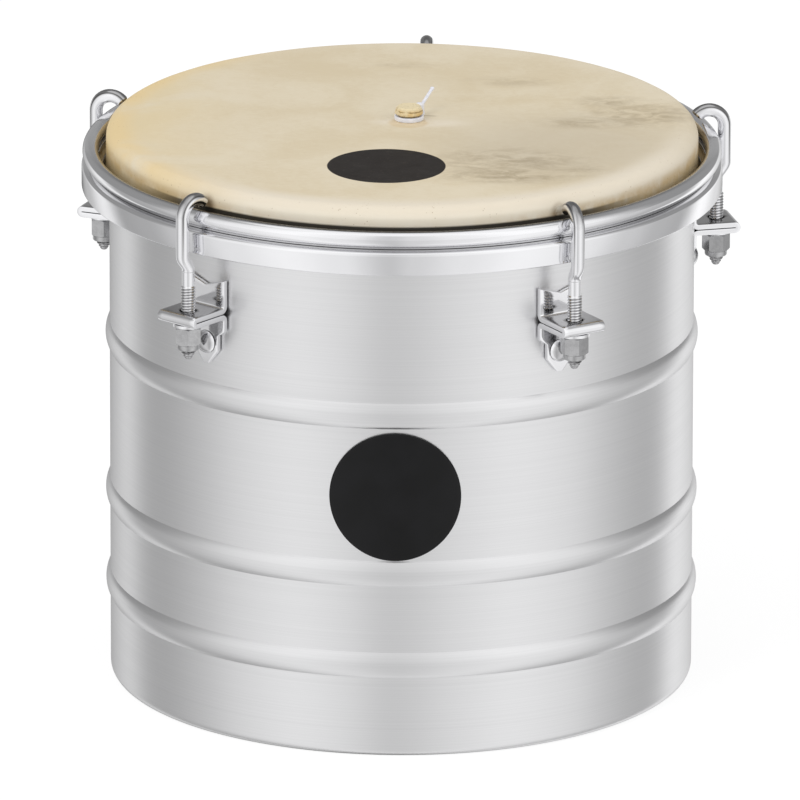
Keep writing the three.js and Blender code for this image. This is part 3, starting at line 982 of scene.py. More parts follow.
@dataclass
class Shell:
    """The rolled steel tube, with three beads, a curled foot and a turned-in rim."""

    radius: float = 127.0
    height: float = 245.9
    wall: float = 1.5
    foot_radius: float = 4.0
    foot_lip: float = 5.0
    rim_radius: float = 4.1
    rim_lip: float = 3.0
    bead_width: float = 11.4
    bead_height: float = 1.85
    bead_heights: tuple[float, ...] = (41.7, 83.0, 153.9)
    steps: int = 256

    def beads(self, inset: float) -> list[Point]:
        """Gives the beads of one side of the wall, rising.

        Args:
            inset: How far that side lies inside the outer face.

        Returns:
            The points of all the beads.
        """
        bend = (self.bead_width ** 2 / 4 + self.bead_height ** 2) / (2 * self.bead_height)
        half = math.degrees(math.asin(self.bead_width / 2 / bend))
        centre = self.radius + self.bead_height - bend - inset
        points: list[Point] = []
        for height in self.bead_heights:
            points += arc((centre, height), bend, -half, half, 14)
        return points

    def build(self) -> BMesh:
        """Builds the tube.

        Returns:
            The tube.
        """
        foot = (self.radius - self.foot_radius, self.foot_radius)
        rim = (self.radius - self.rim_radius, self.height - self.rim_radius)
        outline = [
            (foot[0] - self.foot_lip, 0.0),
            *arc(foot, self.foot_radius, -90, 0, 10),
            *self.beads(0.0),
            *arc(rim, self.rim_radius, 0, 90, 8),
            (rim[0] - self.rim_lip, self.height),
            (rim[0] - self.rim_lip, self.height - self.wall),
            *arc(rim, self.rim_radius - self.wall, 90, 0, 6),
            *reversed(self.beads(self.wall)),
            *arc(foot, self.foot_radius - self.wall, 0, -90, 6),
            (foot[0] - self.foot_lip, self.wall),
        ]
        return spun(outline, self.steps)

    def dress(self, bench: Workbench) -> None:
        """Hands the shell over."""
        bench.hand_over(self.build(), "beaded_shell", Body.DRUM, BrushedSteel(), "shell", 24.0)


@dataclass
class Badge:
    """The thin round black badge, bent to the shell."""

    radius: float = 28.6
    height: float = 117.8
    angle: float = math.radians(3.2)
    inner: float = 127.3
    thickness: float = 0.9
    edge: float = 0.25

    def build(self) -> BMesh:
        """Builds the badge flat, then bends it round the shell.

        Returns:
            The bent badge.
        """
        rings = 16
        flat_end = self.radius - self.edge
        outline = [
            *spread((0.0, 0.0), (self.radius, 0.0), rings),
            (self.radius, 0.0),
            *arc((flat_end, self.thickness - self.edge), self.edge, 0, 90, 3),
            *reversed(spread((0.0, self.thickness), (flat_end, self.thickness), rings)),
        ]
        flat = spun(outline, 128, closed=False)

        def bend(place: Vector) -> Vector:
            """Bends one vertex of the flat disc round the shell.

            Args:
                place: The vertex.

            Returns:
                Its new place.
            """
            reach = self.inner + place.z
            turn = self.angle + place.x / (self.inner + self.thickness)
            return Vector((reach * math.sin(turn), -reach * math.cos(turn), self.height + place.y))

        bent = reshaped(flat, bend)
        bmesh.ops.recalc_face_normals(bent, faces=bent.faces)
        return bent

    def dress(self, bench: Workbench) -> None:
        """Hands the badge over."""
        bench.hand_over(self.build(), "round_badge", Body.DRUM, BadgeFoil(), "badge")


@dataclass
class HeadSkin:
    """The goatskin, stretched over the rim, lapped round its hoop and drawn up under the tie."""

    top: float = 247.4
    thickness: float = 1.2
    rim_centre: Point = (122.9, 241.8)
    shoulder: float = 5.6
    lap_centre: Point = LAP_CENTRE
    lap_radius: float = 3.9
    lap_end: float = 470.0
    tie_centre: Point = TIE_CENTRE
    neck_hole: float = 4.9
    foot_hole: float = 7.0
    drawn_reach: float = 13.0
    drawn_rise: float = 0.5
    pleats: int = 11
    pleat_depth: float = 0.16
    slack: float = 0.22
    shift_start: float = 16.0
    shift_end: float = 100.0
    steps: int = 240

    def build(self) -> BMesh:
        """Builds the skin, with its folds and its slight waves.

        Returns:
            The whole skin.
        """
        flat_end = self.rim_centre[0]
        lip = self.top + 0.12
        crowded = [self.neck_hole + (self.drawn_reach - self.neck_hole) * step / 14 for step in range(14)]
        open_skin = [self.drawn_reach + (flat_end - self.drawn_reach) * (step / 44) for step in range(44)]
        outline = [
            *((radius, self.top) for radius in crowded + open_skin),
            *arc(self.rim_centre, self.shoulder, 90, 0, 14),
            *arc(self.lap_centre, self.lap_radius - self.thickness, 180, self.lap_end, 20),
            *arc(self.lap_centre, self.lap_radius, self.lap_end, 180, 20),
            *arc(self.rim_centre, self.shoulder - self.thickness, 0, 90, 10),
            (80.0, self.top - self.thickness),
            (40.0, self.top - self.thickness),
            (self.foot_hole, self.top - self.thickness),
            (self.foot_hole, lip),
            (self.neck_hole, lip),
        ]
        return reshaped(spun(outline, self.steps), self.stretch)

    def stretch(self, place: Vector) -> Vector:
        """Moves one vertex to where the tied and stretched skin lies.

        Args:
            place: A vertex of the plain turned skin.

        Returns:
            Its new place.
        """
        radius = math.hypot(place.x, place.y)
        shift = 1 - clamped((radius - self.shift_start) / (self.shift_end - self.shift_start))
        shift = shift * shift * (3 - 2 * shift)
        new = Vector((place.x + self.tie_centre[0] * shift, place.y + self.tie_centre[1] * shift, place.z))
        if place.z > self.top - 0.05 and radius < self.drawn_reach:
            share = (self.drawn_reach - radius) / (self.drawn_reach - self.neck_hole)
            angle = math.atan2(place.y, place.x)
            fold = math.cos(angle * self.pleats + 1.3 * math.sin(angle * 2)) * self.pleat_depth
            fold *= share * (1 - share * 0.4)
            new.z += self.drawn_rise * share * share + max(0.0, fold) * min(1.0, share * 3)
        elif place.z > self.top - 0.05:
            wave = noise.noise(Vector((place.x, place.y, 0.0)) * 0.03) * 0.5 - 0.5
            settle = min(1.0, (radius - self.drawn_reach) / 20) * clamped((128.5 - radius) / 14)
            new.z += self.slack * wave * settle
        elif radius > 120 and place.z > 236:
            out = 1 + 0.0011 * (noise.noise(Vector((place.x, place.y, place.z)) * 0.05) - 0.4)
            new.x *= out
            new.y *= out
        return new

    def dress(self, bench: Workbench) -> None:
        """Hands the skin over, and bakes its place into its mesh.

        Args:
            bench: Where finished pieces go.
        """
        piece = bench.hand_over(self.build(), "goatskin_head", None, Goatskin(), "head_skin", 60.0)
        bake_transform(piece)


@dataclass
class Hoops:
    """The flesh hoop in the skin's lap, and the counter hoop of a band and a round wire."""

    flesh_centre: Point = LAP_CENTRE
    flesh_radius: float = 2.4
    wire_centre: Point = (135.1, 235.5)
    wire_radius: float = 3.5
    band_outer: float = 139.0
    band_bottom: float = 220.4
    band_top: float = 231.7
    edge_top: float = 230.6
    band_wall: float = 2.4
    corner: float = 2.0
    soft: float = 0.5
    weld: float = 0.8
    # How dark the wire's foot is painted, as painted shade.
    foot_shade: float = 0.35
    steps: int = 256

    def band(self) -> BMesh:
        """Builds the band: a skirt whose rounded shelf slopes out from under the wire.

        Returns:
            The band.
        """
        inside = self.band_outer - self.band_wall
        shelf_end = self.wire_centre[0] - self.wire_radius
        under = self.band_top - self.band_wall
        soft = self.soft
        corner = arc((self.band_outer - self.corner, self.edge_top - self.corner), self.corner, 0, 69, 8)
        outline = [
            *arc((inside + soft, self.band_bottom + soft), soft, 180, 270, 3),
            *arc((self.band_outer - soft, self.band_bottom + soft), soft, 270, 360, 3),
            *corner[:-1],
            *spread(corner[-1], (self.wire_centre[0] - 0.6, self.band_top), 10),
            (self.wire_centre[0] - 0.6, self.band_top),
            *arc((shelf_end + soft, self.band_top - soft), soft, 90, 180, 3),
            *arc((shelf_end + soft, under + soft), soft, 180, 270, 3),
            (inside - 1.2, under),
            (inside, under - 1.2),
        ]
        return spun(outline, self.steps)

    def wire(self) -> BMesh:
        """Builds the round wire, with the narrow weld that holds it on the shelf.

        Returns:
            The wire.
        """
        reach, foot = self.wire_centre[0], self.band_top - 0.3
        outline = [*arc(self.wire_centre, self.wire_radius, -72, 252, 36),
                   (reach - self.weld, foot), (reach + self.weld, foot)]
        return spun(outline, self.steps)

    def wire_shade(self, place: Vector) -> float:
        """Gives the painted dark reflection on the wire's upper inner side and the painted shade of its foot, which
        see only the gap and the shelf.

        Args:
            place: A vertex of the wire.

        Returns:
            The dark, 0 to 1, greatest at the drum's front.
        """
        radius = math.hypot(place.x, place.y)
        angle = math.degrees(math.atan2(place.z - self.wire_centre[1], radius - self.wire_centre[0]))
        top = clamped((angle - 60) / 22) if angle > -90 else 1.0
        foot = self.foot_shade * clamped((-angle - 50) / 20) if angle < 0 else 0.0
        front = max(0.0, -place.y / radius)
        return max(top * (0.05 + 0.95 * front), foot * (0.2 + 0.8 * front))

    def band_shade(self, place: Vector) -> float:
        """Gives the painted shade of the shelf, greatest in the crease under the wire.

        Args:
            place: A vertex of the band.

        Returns:
            The dark, 0 to 1.
        """
        radius = math.hypot(place.x, place.y)
        if place.z < self.edge_top - 1.2 or radius > self.band_outer - 0.9:
            return 0.0
        crease = min(1.0, 0.08 + max(0.0, (self.wire_centre[0] + 1.1 - radius) / 0.7))
        return crease * (0.45 + 0.55 * max(0.0, -place.y / radius))

    def dress(self, bench: Workbench) -> None:
        """Hands the three hoops over.

        Args:
            bench: Where finished pieces go.
        """
        flesh = spun(arc(self.flesh_centre, self.flesh_radius, 0, 345, 23), self.steps)
        bench.hand_over(flesh, "flesh_hoop_ring", Body.DRUM, Zinc(), "flesh_hoop")
        band, wire = shaded(self.band(), self.band_shade), shaded(self.wire(), self.wire_shade)
        bench.hand_over(band, "hoop_skirt", Body.COUNTER_HOOP, Chrome(), "hoop_band")
        bench.hand_over(wire, "hoop_ring", Body.COUNTER_HOOP, Chrome(), "hoop_wire")


@dataclass
class HookRod:
    """A hook rod: rolled thread, a jog out past the band, the shank and the arch over the wire."""

    thread_centre: float = ROD_REACH
    thread_radius: float = 3.175
    thread_depth: float = 0.5
    pitch: float = 1.27
    tip: float = 173.7
    tip_top: float = 176.7
    tip_radius: float = 1.5
    thread_top: float = 206.0
    foot_radius: float = 2.75
    shank_radius: float = 2.9
    jog_bottom: float = 213.4
    jog_top: float = 220.4
    arch_centre: Point = (137.4, 236.9)
    arch_radius: float = 7.058
    arch_end: float = 140.0
    turns: tuple[float, ...] = (-10.7, -3.0, 4.0, 2.0, -3.3)
    # How dark the rod is painted: the tip darker, painted shade in the thread's roots, and painted dark reflections
    # on the crown and in a fine line down each side of the shank.
    tip_dark: float = 0.5
    thread_root_shade: float = 0.55
    crown_dark_reflection: float = 0.7
    crown_start: float = 0.4
    crown_fade: float = 6.0
    line_dark_reflection: float = 0.95
    line_side: float = 0.782
    line_width: float = 0.06
    sides: int = 28
    route: list[Point] = field(default_factory=list)

    def __post_init__(self) -> None:
        """Lays the centre line out from the tip to the end of the hook."""
        shank = self.arch_centre[0] + self.arch_radius
        jog = []
        for step in range(25):
            share = step / 24
            eased = (1 - math.cos(math.pi * share)) / 2
            jog.append((self.thread_centre + (shank - self.thread_centre) * eased,
                        self.jog_bottom + (self.jog_top - self.jog_bottom) * share))
        self.route = [(self.thread_centre, self.tip), *jog,
                      *arc(self.arch_centre, self.arch_radius, 0, self.arch_end, 60)]

    def lengths(self) -> list[float]:
        """Gives the distance along the route of each of its points.

        Returns:
            The distances, in order.
        """
        total = [0.0]
        for first, second in zip(self.route, self.route[1:]):
            total.append(total[-1] + math.dist(first, second))
        return total

    def build(self) -> BMesh:
        """Builds the rod straight and threaded, then bends it along its route.

        Returns:
            The bent rod.
        """
        lengths = self.lengths()
        end = lengths[-1]
        cone = self.tip_top - self.tip
        thread_end = self.thread_top - self.tip
        rows = int((thread_end - cone) / self.pitch * 8)
        shoulder = self.jog_bottom - self.tip - 0.6
        soft = 0.9
        outline = [
            (0.0, 0.0),
            (self.tip_radius - 0.3, 0.0),
            (self.tip_radius, 0.3),
            *spread((self.tip_radius + 0.2, 0.6), (self.thread_radius, cone), 10),
            *spread((self.thread_radius, cone), (self.thread_radius, thread_end), rows),
            (self.thread_radius, thread_end),
            (self.foot_radius, thread_end + 0.5),
            *spread((self.foot_radius, thread_end + 0.9), (self.foot_radius, shoulder), 6),
            (self.foot_radius, shoulder),
            (self.foot_radius + 0.1, shoulder + 0.15),
            (self.shank_radius - 0.05, shoulder + 0.5),
            *spread((self.shank_radius, shoulder + 0.8), (self.shank_radius, end - soft), 84),
            *arc((self.shank_radius - soft, end - soft), soft, 0, 90, 6),
            (0.0, end),
        ]
        rod = spun(outline, self.sides, closed=False)
        shaded(rod, lambda place: self.dark(place, shoulder, end))
        reshaped(rod, self.threaded)
        return reshaped(rod, self.bend_rule(lengths))

    def dark(self, place: Vector, shoulder: float, end: float) -> float:
        """Gives how dark the straight rod is at one vertex.

        Args:
            place: The vertex.
            shoulder: How far from the tip the shank starts.
            end: How far from the tip the rod ends.

        Returns:
            The painted shade of the thread's roots, the darker tip, and painted dark reflections on the arch's crown
            and in a fine line down each side of the shank.
        """
        radius = math.hypot(place.x, place.y)
        # Painted shade in the thread's roots; the tip is simply darker.
        if place.z <= shoulder or radius <= 0.0 or place.y >= 0.0:
            threaded = place.z > self.tip_top - self.tip + 1.0
            return self.groove(place) * self.thread_root_shade if threaded else self.tip_dark
        # Painted dark reflections on the crown and in a line down each side of the shank.
        arch = end - math.radians(self.arch_end) * self.arch_radius
        upper = max(0.0, -place.y / radius - self.crown_start) / (1 - self.crown_start)
        crown = self.crown_dark_reflection * upper * clamped((place.z - arch) / self.crown_fade)
        lined = abs(abs(place.x) / radius - self.line_side) < self.line_width
        fade = min(1.0, (place.z - shoulder) / (arch - shoulder))
        return max(crown, self.line_dark_reflection * fade if lined else 0.0)

    def threaded(self, place: Vector) -> Vector:
        """Sinks one vertex of the straight rod into the thread.

        Args:
            place: The vertex.

        Returns:
            Its new place.
        """
        depth = self.groove(place)
        if depth <= 0.0:
            return place
        radius = math.hypot(place.x, place.y)
        share = (radius - self.thread_depth * depth) / radius
        return Vector((place.x * share, place.y * share, place.z))

    def turned(self, rod: BMesh, number: int) -> BMesh:
        """Turns a rod on its thread, as that of one lug was left.

        Args:
            rod: The bent rod.
            number: The lug's number.

        Returns:
            The same rod.
        """
        out = Matrix.Translation((0, -self.thread_centre, 0))
        return moved(rod, out @ Matrix.Rotation(math.radians(self.turns[number - 1]), 4, "Z") @ out.inverted())

    def groove(self, place: Vector) -> float:
        """Gives how deep the thread is at one vertex of the straight rod.

        Args:
            place: The vertex.

        Returns:
            The depth, 1 at the thread's root.
        """
        end = self.thread_top - self.tip
        if math.hypot(place.x, place.y) < 1e-6 or not 0.6 < place.z < end - 0.05:
            return 0.0
        phase = (place.z / self.pitch - math.atan2(place.y, place.x) / TURN) % 1.0
        flank = clamped((abs(phase - 0.5) - 0.1) / 0.32)
        return flank * min(1.0, (end - place.z) / 0.8, (place.z - 0.6) / 1.2)

    def bend_rule(self, lengths: Sequence[float]) -> Rule:
        """Gives the rule that carries the straight rod to its route.

        Args:
            lengths: The distance of each route point from the tip.

        Returns:
            A rule for reshaped.
        """
        tangents: list[Vector] = []
        last = len(self.route) - 1
        for index in range(len(self.route)):
            before, after = self.route[max(index - 1, 0)], self.route[min(index + 1, last)]
            tangents.append(Vector((after[0] - before[0], after[1] - before[1])).normalized())
        tangents[0] = tangents[1] = Vector((0.0, 1.0))

        def bend(place: Vector) -> Vector:
            """Gives the place on the route of one vertex of the straight rod.

            Args:
                place: The vertex.

            Returns:
                Its new place.
            """
            index = 0
            while index < last - 1 and lengths[index + 1] < place.z:
                index += 1
            share = clamped((place.z - lengths[index]) / (lengths[index + 1] - lengths[index]))
            spot = Vector(self.route[index]).lerp(Vector(self.route[index + 1]), share)
            along = tangents[index].lerp(tangents[index + 1], share).normalized()
            out = -place.y
            reach = spot.x + along.y * out
            rise = spot.y - along.x * out
            return Vector((place.x, -reach, rise))
        return bend


@dataclass
class LugBracket:
    """A lug: one strip of chromed sheet folded into a flange, with a notched plate and a pointed tab."""

    inner: float = 127.3
    sheet: float = 2.35
    outer: float = 149.5
    flange_top: float = 195.2
    flange_bottom: float = 190.2
    bend: float = 0.9
    width: float = 20.5
    plate_top: float = 207.5
    notch: float = 3.2
    tab_top: float = 187.0
    wide_end: float = 184.8
    shoulder_end: float = 182.0
    tab_width: float = 12.9
    point_start: float = 175.4
    point_width: float = 2.6
    tab_end: float = 169.2
    bolt_height: float = BOLT_HEIGHT
    bolt_hole: float = 3.35
    rod_centre: float = ROD_REACH
    rod_hole: float = 3.7
    columns: int = 8
    plate_rows: int = 6
    flange_rows: int = 30
    soft: float = 0.3
    # How dark the flange's top is painted, as a painted dark reflection.
    flange_shade: float = 0.5

    def side(self) -> list[Point]:
        """Gives the strip's outer face from the top plate down to the tab, seen from the side.

        Returns:
            The points, in order.
        """
        face = self.inner + self.sheet
        nose = (self.flange_top - self.flange_bottom) / 2
        bend_out = face + self.bend
        return [
            *spread((face, self.plate_top), (face, self.flange_top + self.bend), self.plate_rows),
            *arc((bend_out, self.flange_top + self.bend), self.bend, 180, 270, 6),
            *spread((bend_out + 1, self.flange_top), (self.outer - nose, self.flange_top), 6),
            *arc((self.outer - nose, self.flange_top - nose), nose, 90, -90, 12),
            *reversed(spread((bend_out + 1, self.flange_bottom), (self.outer - nose, self.flange_bottom), 6)),
            *arc((bend_out, self.flange_bottom - self.bend), self.bend, 90, 180, 6),
            (face, self.tab_top),
            (face, self.wide_end),
            (face, self.shoulder_end),
            (face, self.bolt_height),
            (face, self.point_start),
            (face, (self.point_start + self.tab_end) / 2),
            (face, self.tab_end),
        ]

    def half_width(self, row: int, height: float) -> float:
        """Gives half the strip's width at one row of its side.

        Args:
            row: The row's number, from the top plate.
            height: The row's height.

        Returns:
            Half the width there.
        """
        half = self.width / 2
        if row < self.flange_rows or height >= self.wide_end:
            return half
        tab = self.tab_width / 2
        if height >= self.shoulder_end:
            return tab + (half - tab) * (height - self.shoulder_end) / (self.wide_end - self.shoulder_end)
        if height >= self.point_start:
            return tab
        point = self.point_width / 2
        return point + (tab - point) * (height - self.tab_end) / (self.point_start - self.tab_end)

    def build(self) -> BMesh:
        """Builds the lug at the front of the drum.

        Returns:
            The lug, with its holes.
        """
        side = self.side()
        rows = len(side) - 1
        strip = bmesh.new()
        bmesh.ops.create_grid(strip, x_segments=self.columns, y_segments=rows, size=1.0)

        def fold(place: Vector) -> Vector:
            """Gives the place on the folded strip of one vertex of a flat square grid.

            Args:
                place: The vertex.

            Returns:
                Its new place.
            """
            row = round((place.y + 1) / 2 * rows)
            reach, height = side[row]
            across = place.x * self.half_width(row, height)
            if row < self.plate_rows:
                height -= self.notch * (1 - abs(place.x)) * (1 - row / self.plate_rows)
            return Vector((across, -reach, height))

        reshaped(strip, fold)
        bmesh.ops.recalc_face_normals(strip, faces=strip.faces)
        self._face_out(strip)
        bmesh.ops.solidify(strip, geom=strip.faces[:], thickness=self.sheet)
        bmesh.ops.recalc_face_normals(strip, faces=strip.faces)
        eased_edges(strip, self.soft, 50.0)
        bolt_hole = laid_out(round_bar(self.bolt_hole, self.inner - 5, self.inner + self.sheet + 5),
                             self.bolt_height)
        rod_hole = moved(round_bar(self.rod_hole, self.flange_bottom - 5, self.flange_top + 5),
                         Matrix.Translation((0, -self.rod_centre, 0)))
        return shaded(cut_out(strip, bolt_hole, rod_hole), self.shade)

    def shade(self, place: Vector) -> float:
        """Gives the painted dark reflection on the flange's top, which sees the shell behind it, and painted shade
        deepest about the rod.

        Args:
            place: A vertex of the lug.

        Returns:
            The dark, 0 to 1.
        """
        reach = -place.y
        if abs(place.z - self.flange_top) > 0.2 or not self.inner + self.sheet + 0.8 < reach < self.outer - 2.2:
            return 0.0
        rod = math.hypot(place.x, reach - self.rod_centre)
        return 1.0 if rod < self.rod_hole + 0.2 else self.flange_shade

    @staticmethod
    def _face_out(strip: BMesh) -> None:
        """Turns an open strip so that its upper plate faces away from the drum.

        Args:
            strip: The strip.
        """
        strip.faces.ensure_lookup_table()
        highest = max(strip.faces, key=lambda face: face.calc_center_median().z)
        highest.normal_update()
        if highest.normal.y > 0:
            bmesh.ops.reverse_faces(strip, faces=strip.faces[:])


@dataclass
class Tension:
    """The washer under the flange and the nut that draws the rod down."""

    centre: float = ROD_REACH
    washer_radius: float = 6.6
    washer_bottom: float = 188.6
    washer_top: float = 189.9
    flats: float = 10.6
    top: float = 188.3
    collar_top: float = 180.3
    bottom: float = 177.9
    collar_radius: float = 4.9
    bore: float = 3.4
    rest_turns: tuple[float, ...] = (-13.6, -13.6, 10.0, -7.6, -19.6)

    def washer(self) -> BMesh:
        """Builds the washer, with its punched edge.

        Returns:
            The washer.
        """
        soft = 0.3
        outline = [
            (self.bore, self.washer_bottom),
            (self.washer_radius, self.washer_bottom),
            *arc((self.washer_radius - soft, self.washer_top - soft), soft, 0, 90, 3),
            (self.bore + 0.2, self.washer_top),
            (self.bore, self.washer_top - 0.2),
        ]
        return moved(spun(outline, 48), Matrix.Translation((0, -self.centre, 0)))

    def nut(self, rest_turn: float) -> BMesh:
        """Builds the nut: chamfered hexagon over a round collar.

        Args:
            rest_turn: How far it was left turned, in degrees.

        Returns:
            The nut in its place at the front of the drum.
        """
        corner = self.flats / math.sqrt(3)
        low, high = self.collar_top, self.top
        rise = 0.75
        inner_edge = self.flats / 2 - 0.3
        outline = [
            (self.bore, self.bottom + 0.3),
            (self.bore + 0.3, self.bottom),
            *arc((self.collar_radius - 0.8, self.bottom + 0.8), 0.8, 270, 360, 4),
            (self.collar_radius, low - 0.02),
            *spread((inner_edge, low), (corner, low + rise), 7),
            *spread((corner, low + rise), (corner, high - rise), 4),
            *spread((corner, high - rise), (inner_edge, high), 7),
            (inner_edge, high),
            (self.bore + 0.3, high),
            (self.bore, high - 0.3),
        ]
        nut = hexagonal(spun(outline, 72), self.flats, low, high)
        turn = Matrix.Translation((0, -self.centre, 0)) @ Matrix.Rotation(math.radians(rest_turn), 4, "Z")
        return moved(nut, turn)


@dataclass
class BracketFixing:
    """The domed bolt of a lug, and the washer and nut that hold it inside the shell."""

    height: float = BOLT_HEIGHT
    radius: float = 3.0
    head_radius: float = 5.1
    head_height: float = 3.0
    head_foot: float = 129.95
    washer_radius: float = 6.0
    washer_outer: float = 124.9
    washer_inner: float = 123.3
    nut_flats: float = 10.0
    nut_outer: float = 123.0
    nut_inner: float = 118.0
    tail: float = 116.0
    # How dark the middle of the head is painted, as a painted dark reflection.
    head_dark_reflection: float = 0.38

    def bolt(self) -> BMesh:
        """Builds the bolt, with its domed head.

        Returns:
            The bolt.
        """
        dome = (self.head_radius ** 2 + self.head_height ** 2) / (2 * self.head_height)
        half = math.degrees(math.asin(self.head_radius / dome))
        top = self.head_foot + self.head_height
        outline = [
            (0.0, self.tail),
            (self.radius - 0.5, self.tail),
            (self.radius, self.tail + 0.5),
            (self.radius, self.head_foot),
            (self.head_radius - 0.2, self.head_foot),
            *arc((0.0, top - dome), dome, 90 - half, 90, 12)[:-1],
            (0.0, top),
        ]
        return laid_out(shaded(spun(outline, 48, closed=False), self.shade), self.height)

    def shade(self, place: Vector) -> float:
        """Gives the painted dark reflection in the middle of the bolt's head.

        Args:
            place: A vertex of the upright bolt.

        Returns:
            The dark, 0 to 1.
        """
        if place.z < self.head_foot:
            return 0.0
        return clamped((self.head_radius * 0.92 - math.hypot(place.x, place.y)) / 0.6) * self.head_dark_reflection

    def washer(self) -> BMesh:
        """Builds the inner washer.

        Returns:
            The washer.
        """
        outline = [(3.3, self.washer_inner), (self.washer_radius - 0.2, self.washer_inner),
                   (self.washer_radius, self.washer_inner + 0.2), (self.washer_radius, self.washer_outer - 0.2),
                   (self.washer_radius - 0.2, self.washer_outer), (3.3, self.washer_outer)]
        return laid_out(spun(outline, 48), self.height)

    def nut(self) -> BMesh:
        """Builds the inner nut.

        Returns:
            The nut.
        """
        corner = self.nut_flats / math.sqrt(3)
        edge = self.nut_flats / 2 - 0.2
        outline = [
            (3.2, self.nut_inner + 0.3),
            (3.5, self.nut_inner),
            *spread((edge, self.nut_inner), (corner, self.nut_inner + 0.7), 6),
            *spread((corner, self.nut_inner + 0.7), (corner, self.nut_outer - 0.7), 3),
            *spread((corner, self.nut_outer - 0.7), (edge, self.nut_outer), 6),
            (edge, self.nut_outer),
            (3.2, self.nut_outer),
        ]
        nut = hexagonal(spun(outline, 72), self.nut_flats, self.nut_inner, self.nut_outer)
        return laid_out(nut, self.height)


@dataclass
class Stations:
    """All that repeats at the five lugs."""

    hook: HookRod = field(default_factory=HookRod)
    lug: LugBracket = field(default_factory=LugBracket)
    tension: Tension = field(default_factory=Tension)
    fixing: BracketFixing = field(default_factory=BracketFixing)

    def dress(self, bench: Workbench) -> None:
        """Hands the hardware of every lug over.

        Args:
            bench: Where finished pieces go.
        """
        drum, chrome, zinc = Body.DRUM, Chrome(), Zinc()
        masters = (self.hook.build(), self.lug.build(), self.tension.washer(), self.fixing.bolt(),
                   self.fixing.washer(), self.fixing.nut())
        for number, angle in enumerate(LUG_ANGLES, 1):
            hook, lug, washer, bolt, inner_washer, inner_nut = (mesh.copy() for mesh in masters)
            self.hook.turned(hook, number)
            nut = self.tension.nut(self.tension.rest_turns[number - 1])
            pieces = (
                (hook, "threaded_hook", Body.COUNTER_HOOP, chrome, "hook_rod"),
                (lug, "folded_lug", drum, chrome, "lug_bracket"),
                (washer, "flange_washer", drum, chrome, "tension_washer"),
                (nut, "hex_nut", f"nut_{number}", zinc, "tension_nut"),
                (bolt, "dome_bolt", drum, chrome, "bracket_bolt"),
                (inner_washer, "inside_washer", drum, zinc, "inner_washer"),
                (inner_nut, "inside_nut", drum, zinc, "inner_nut"),
            )
            for mesh, name, body, finish, node in pieces:
                moved(mesh, Matrix.Rotation(angle, 4, "Z"))
                bench.hand_over(mesh, f"{name}_{number}", body, finish, f"{node}_{number}")
        for mesh in masters:
            mesh.free()


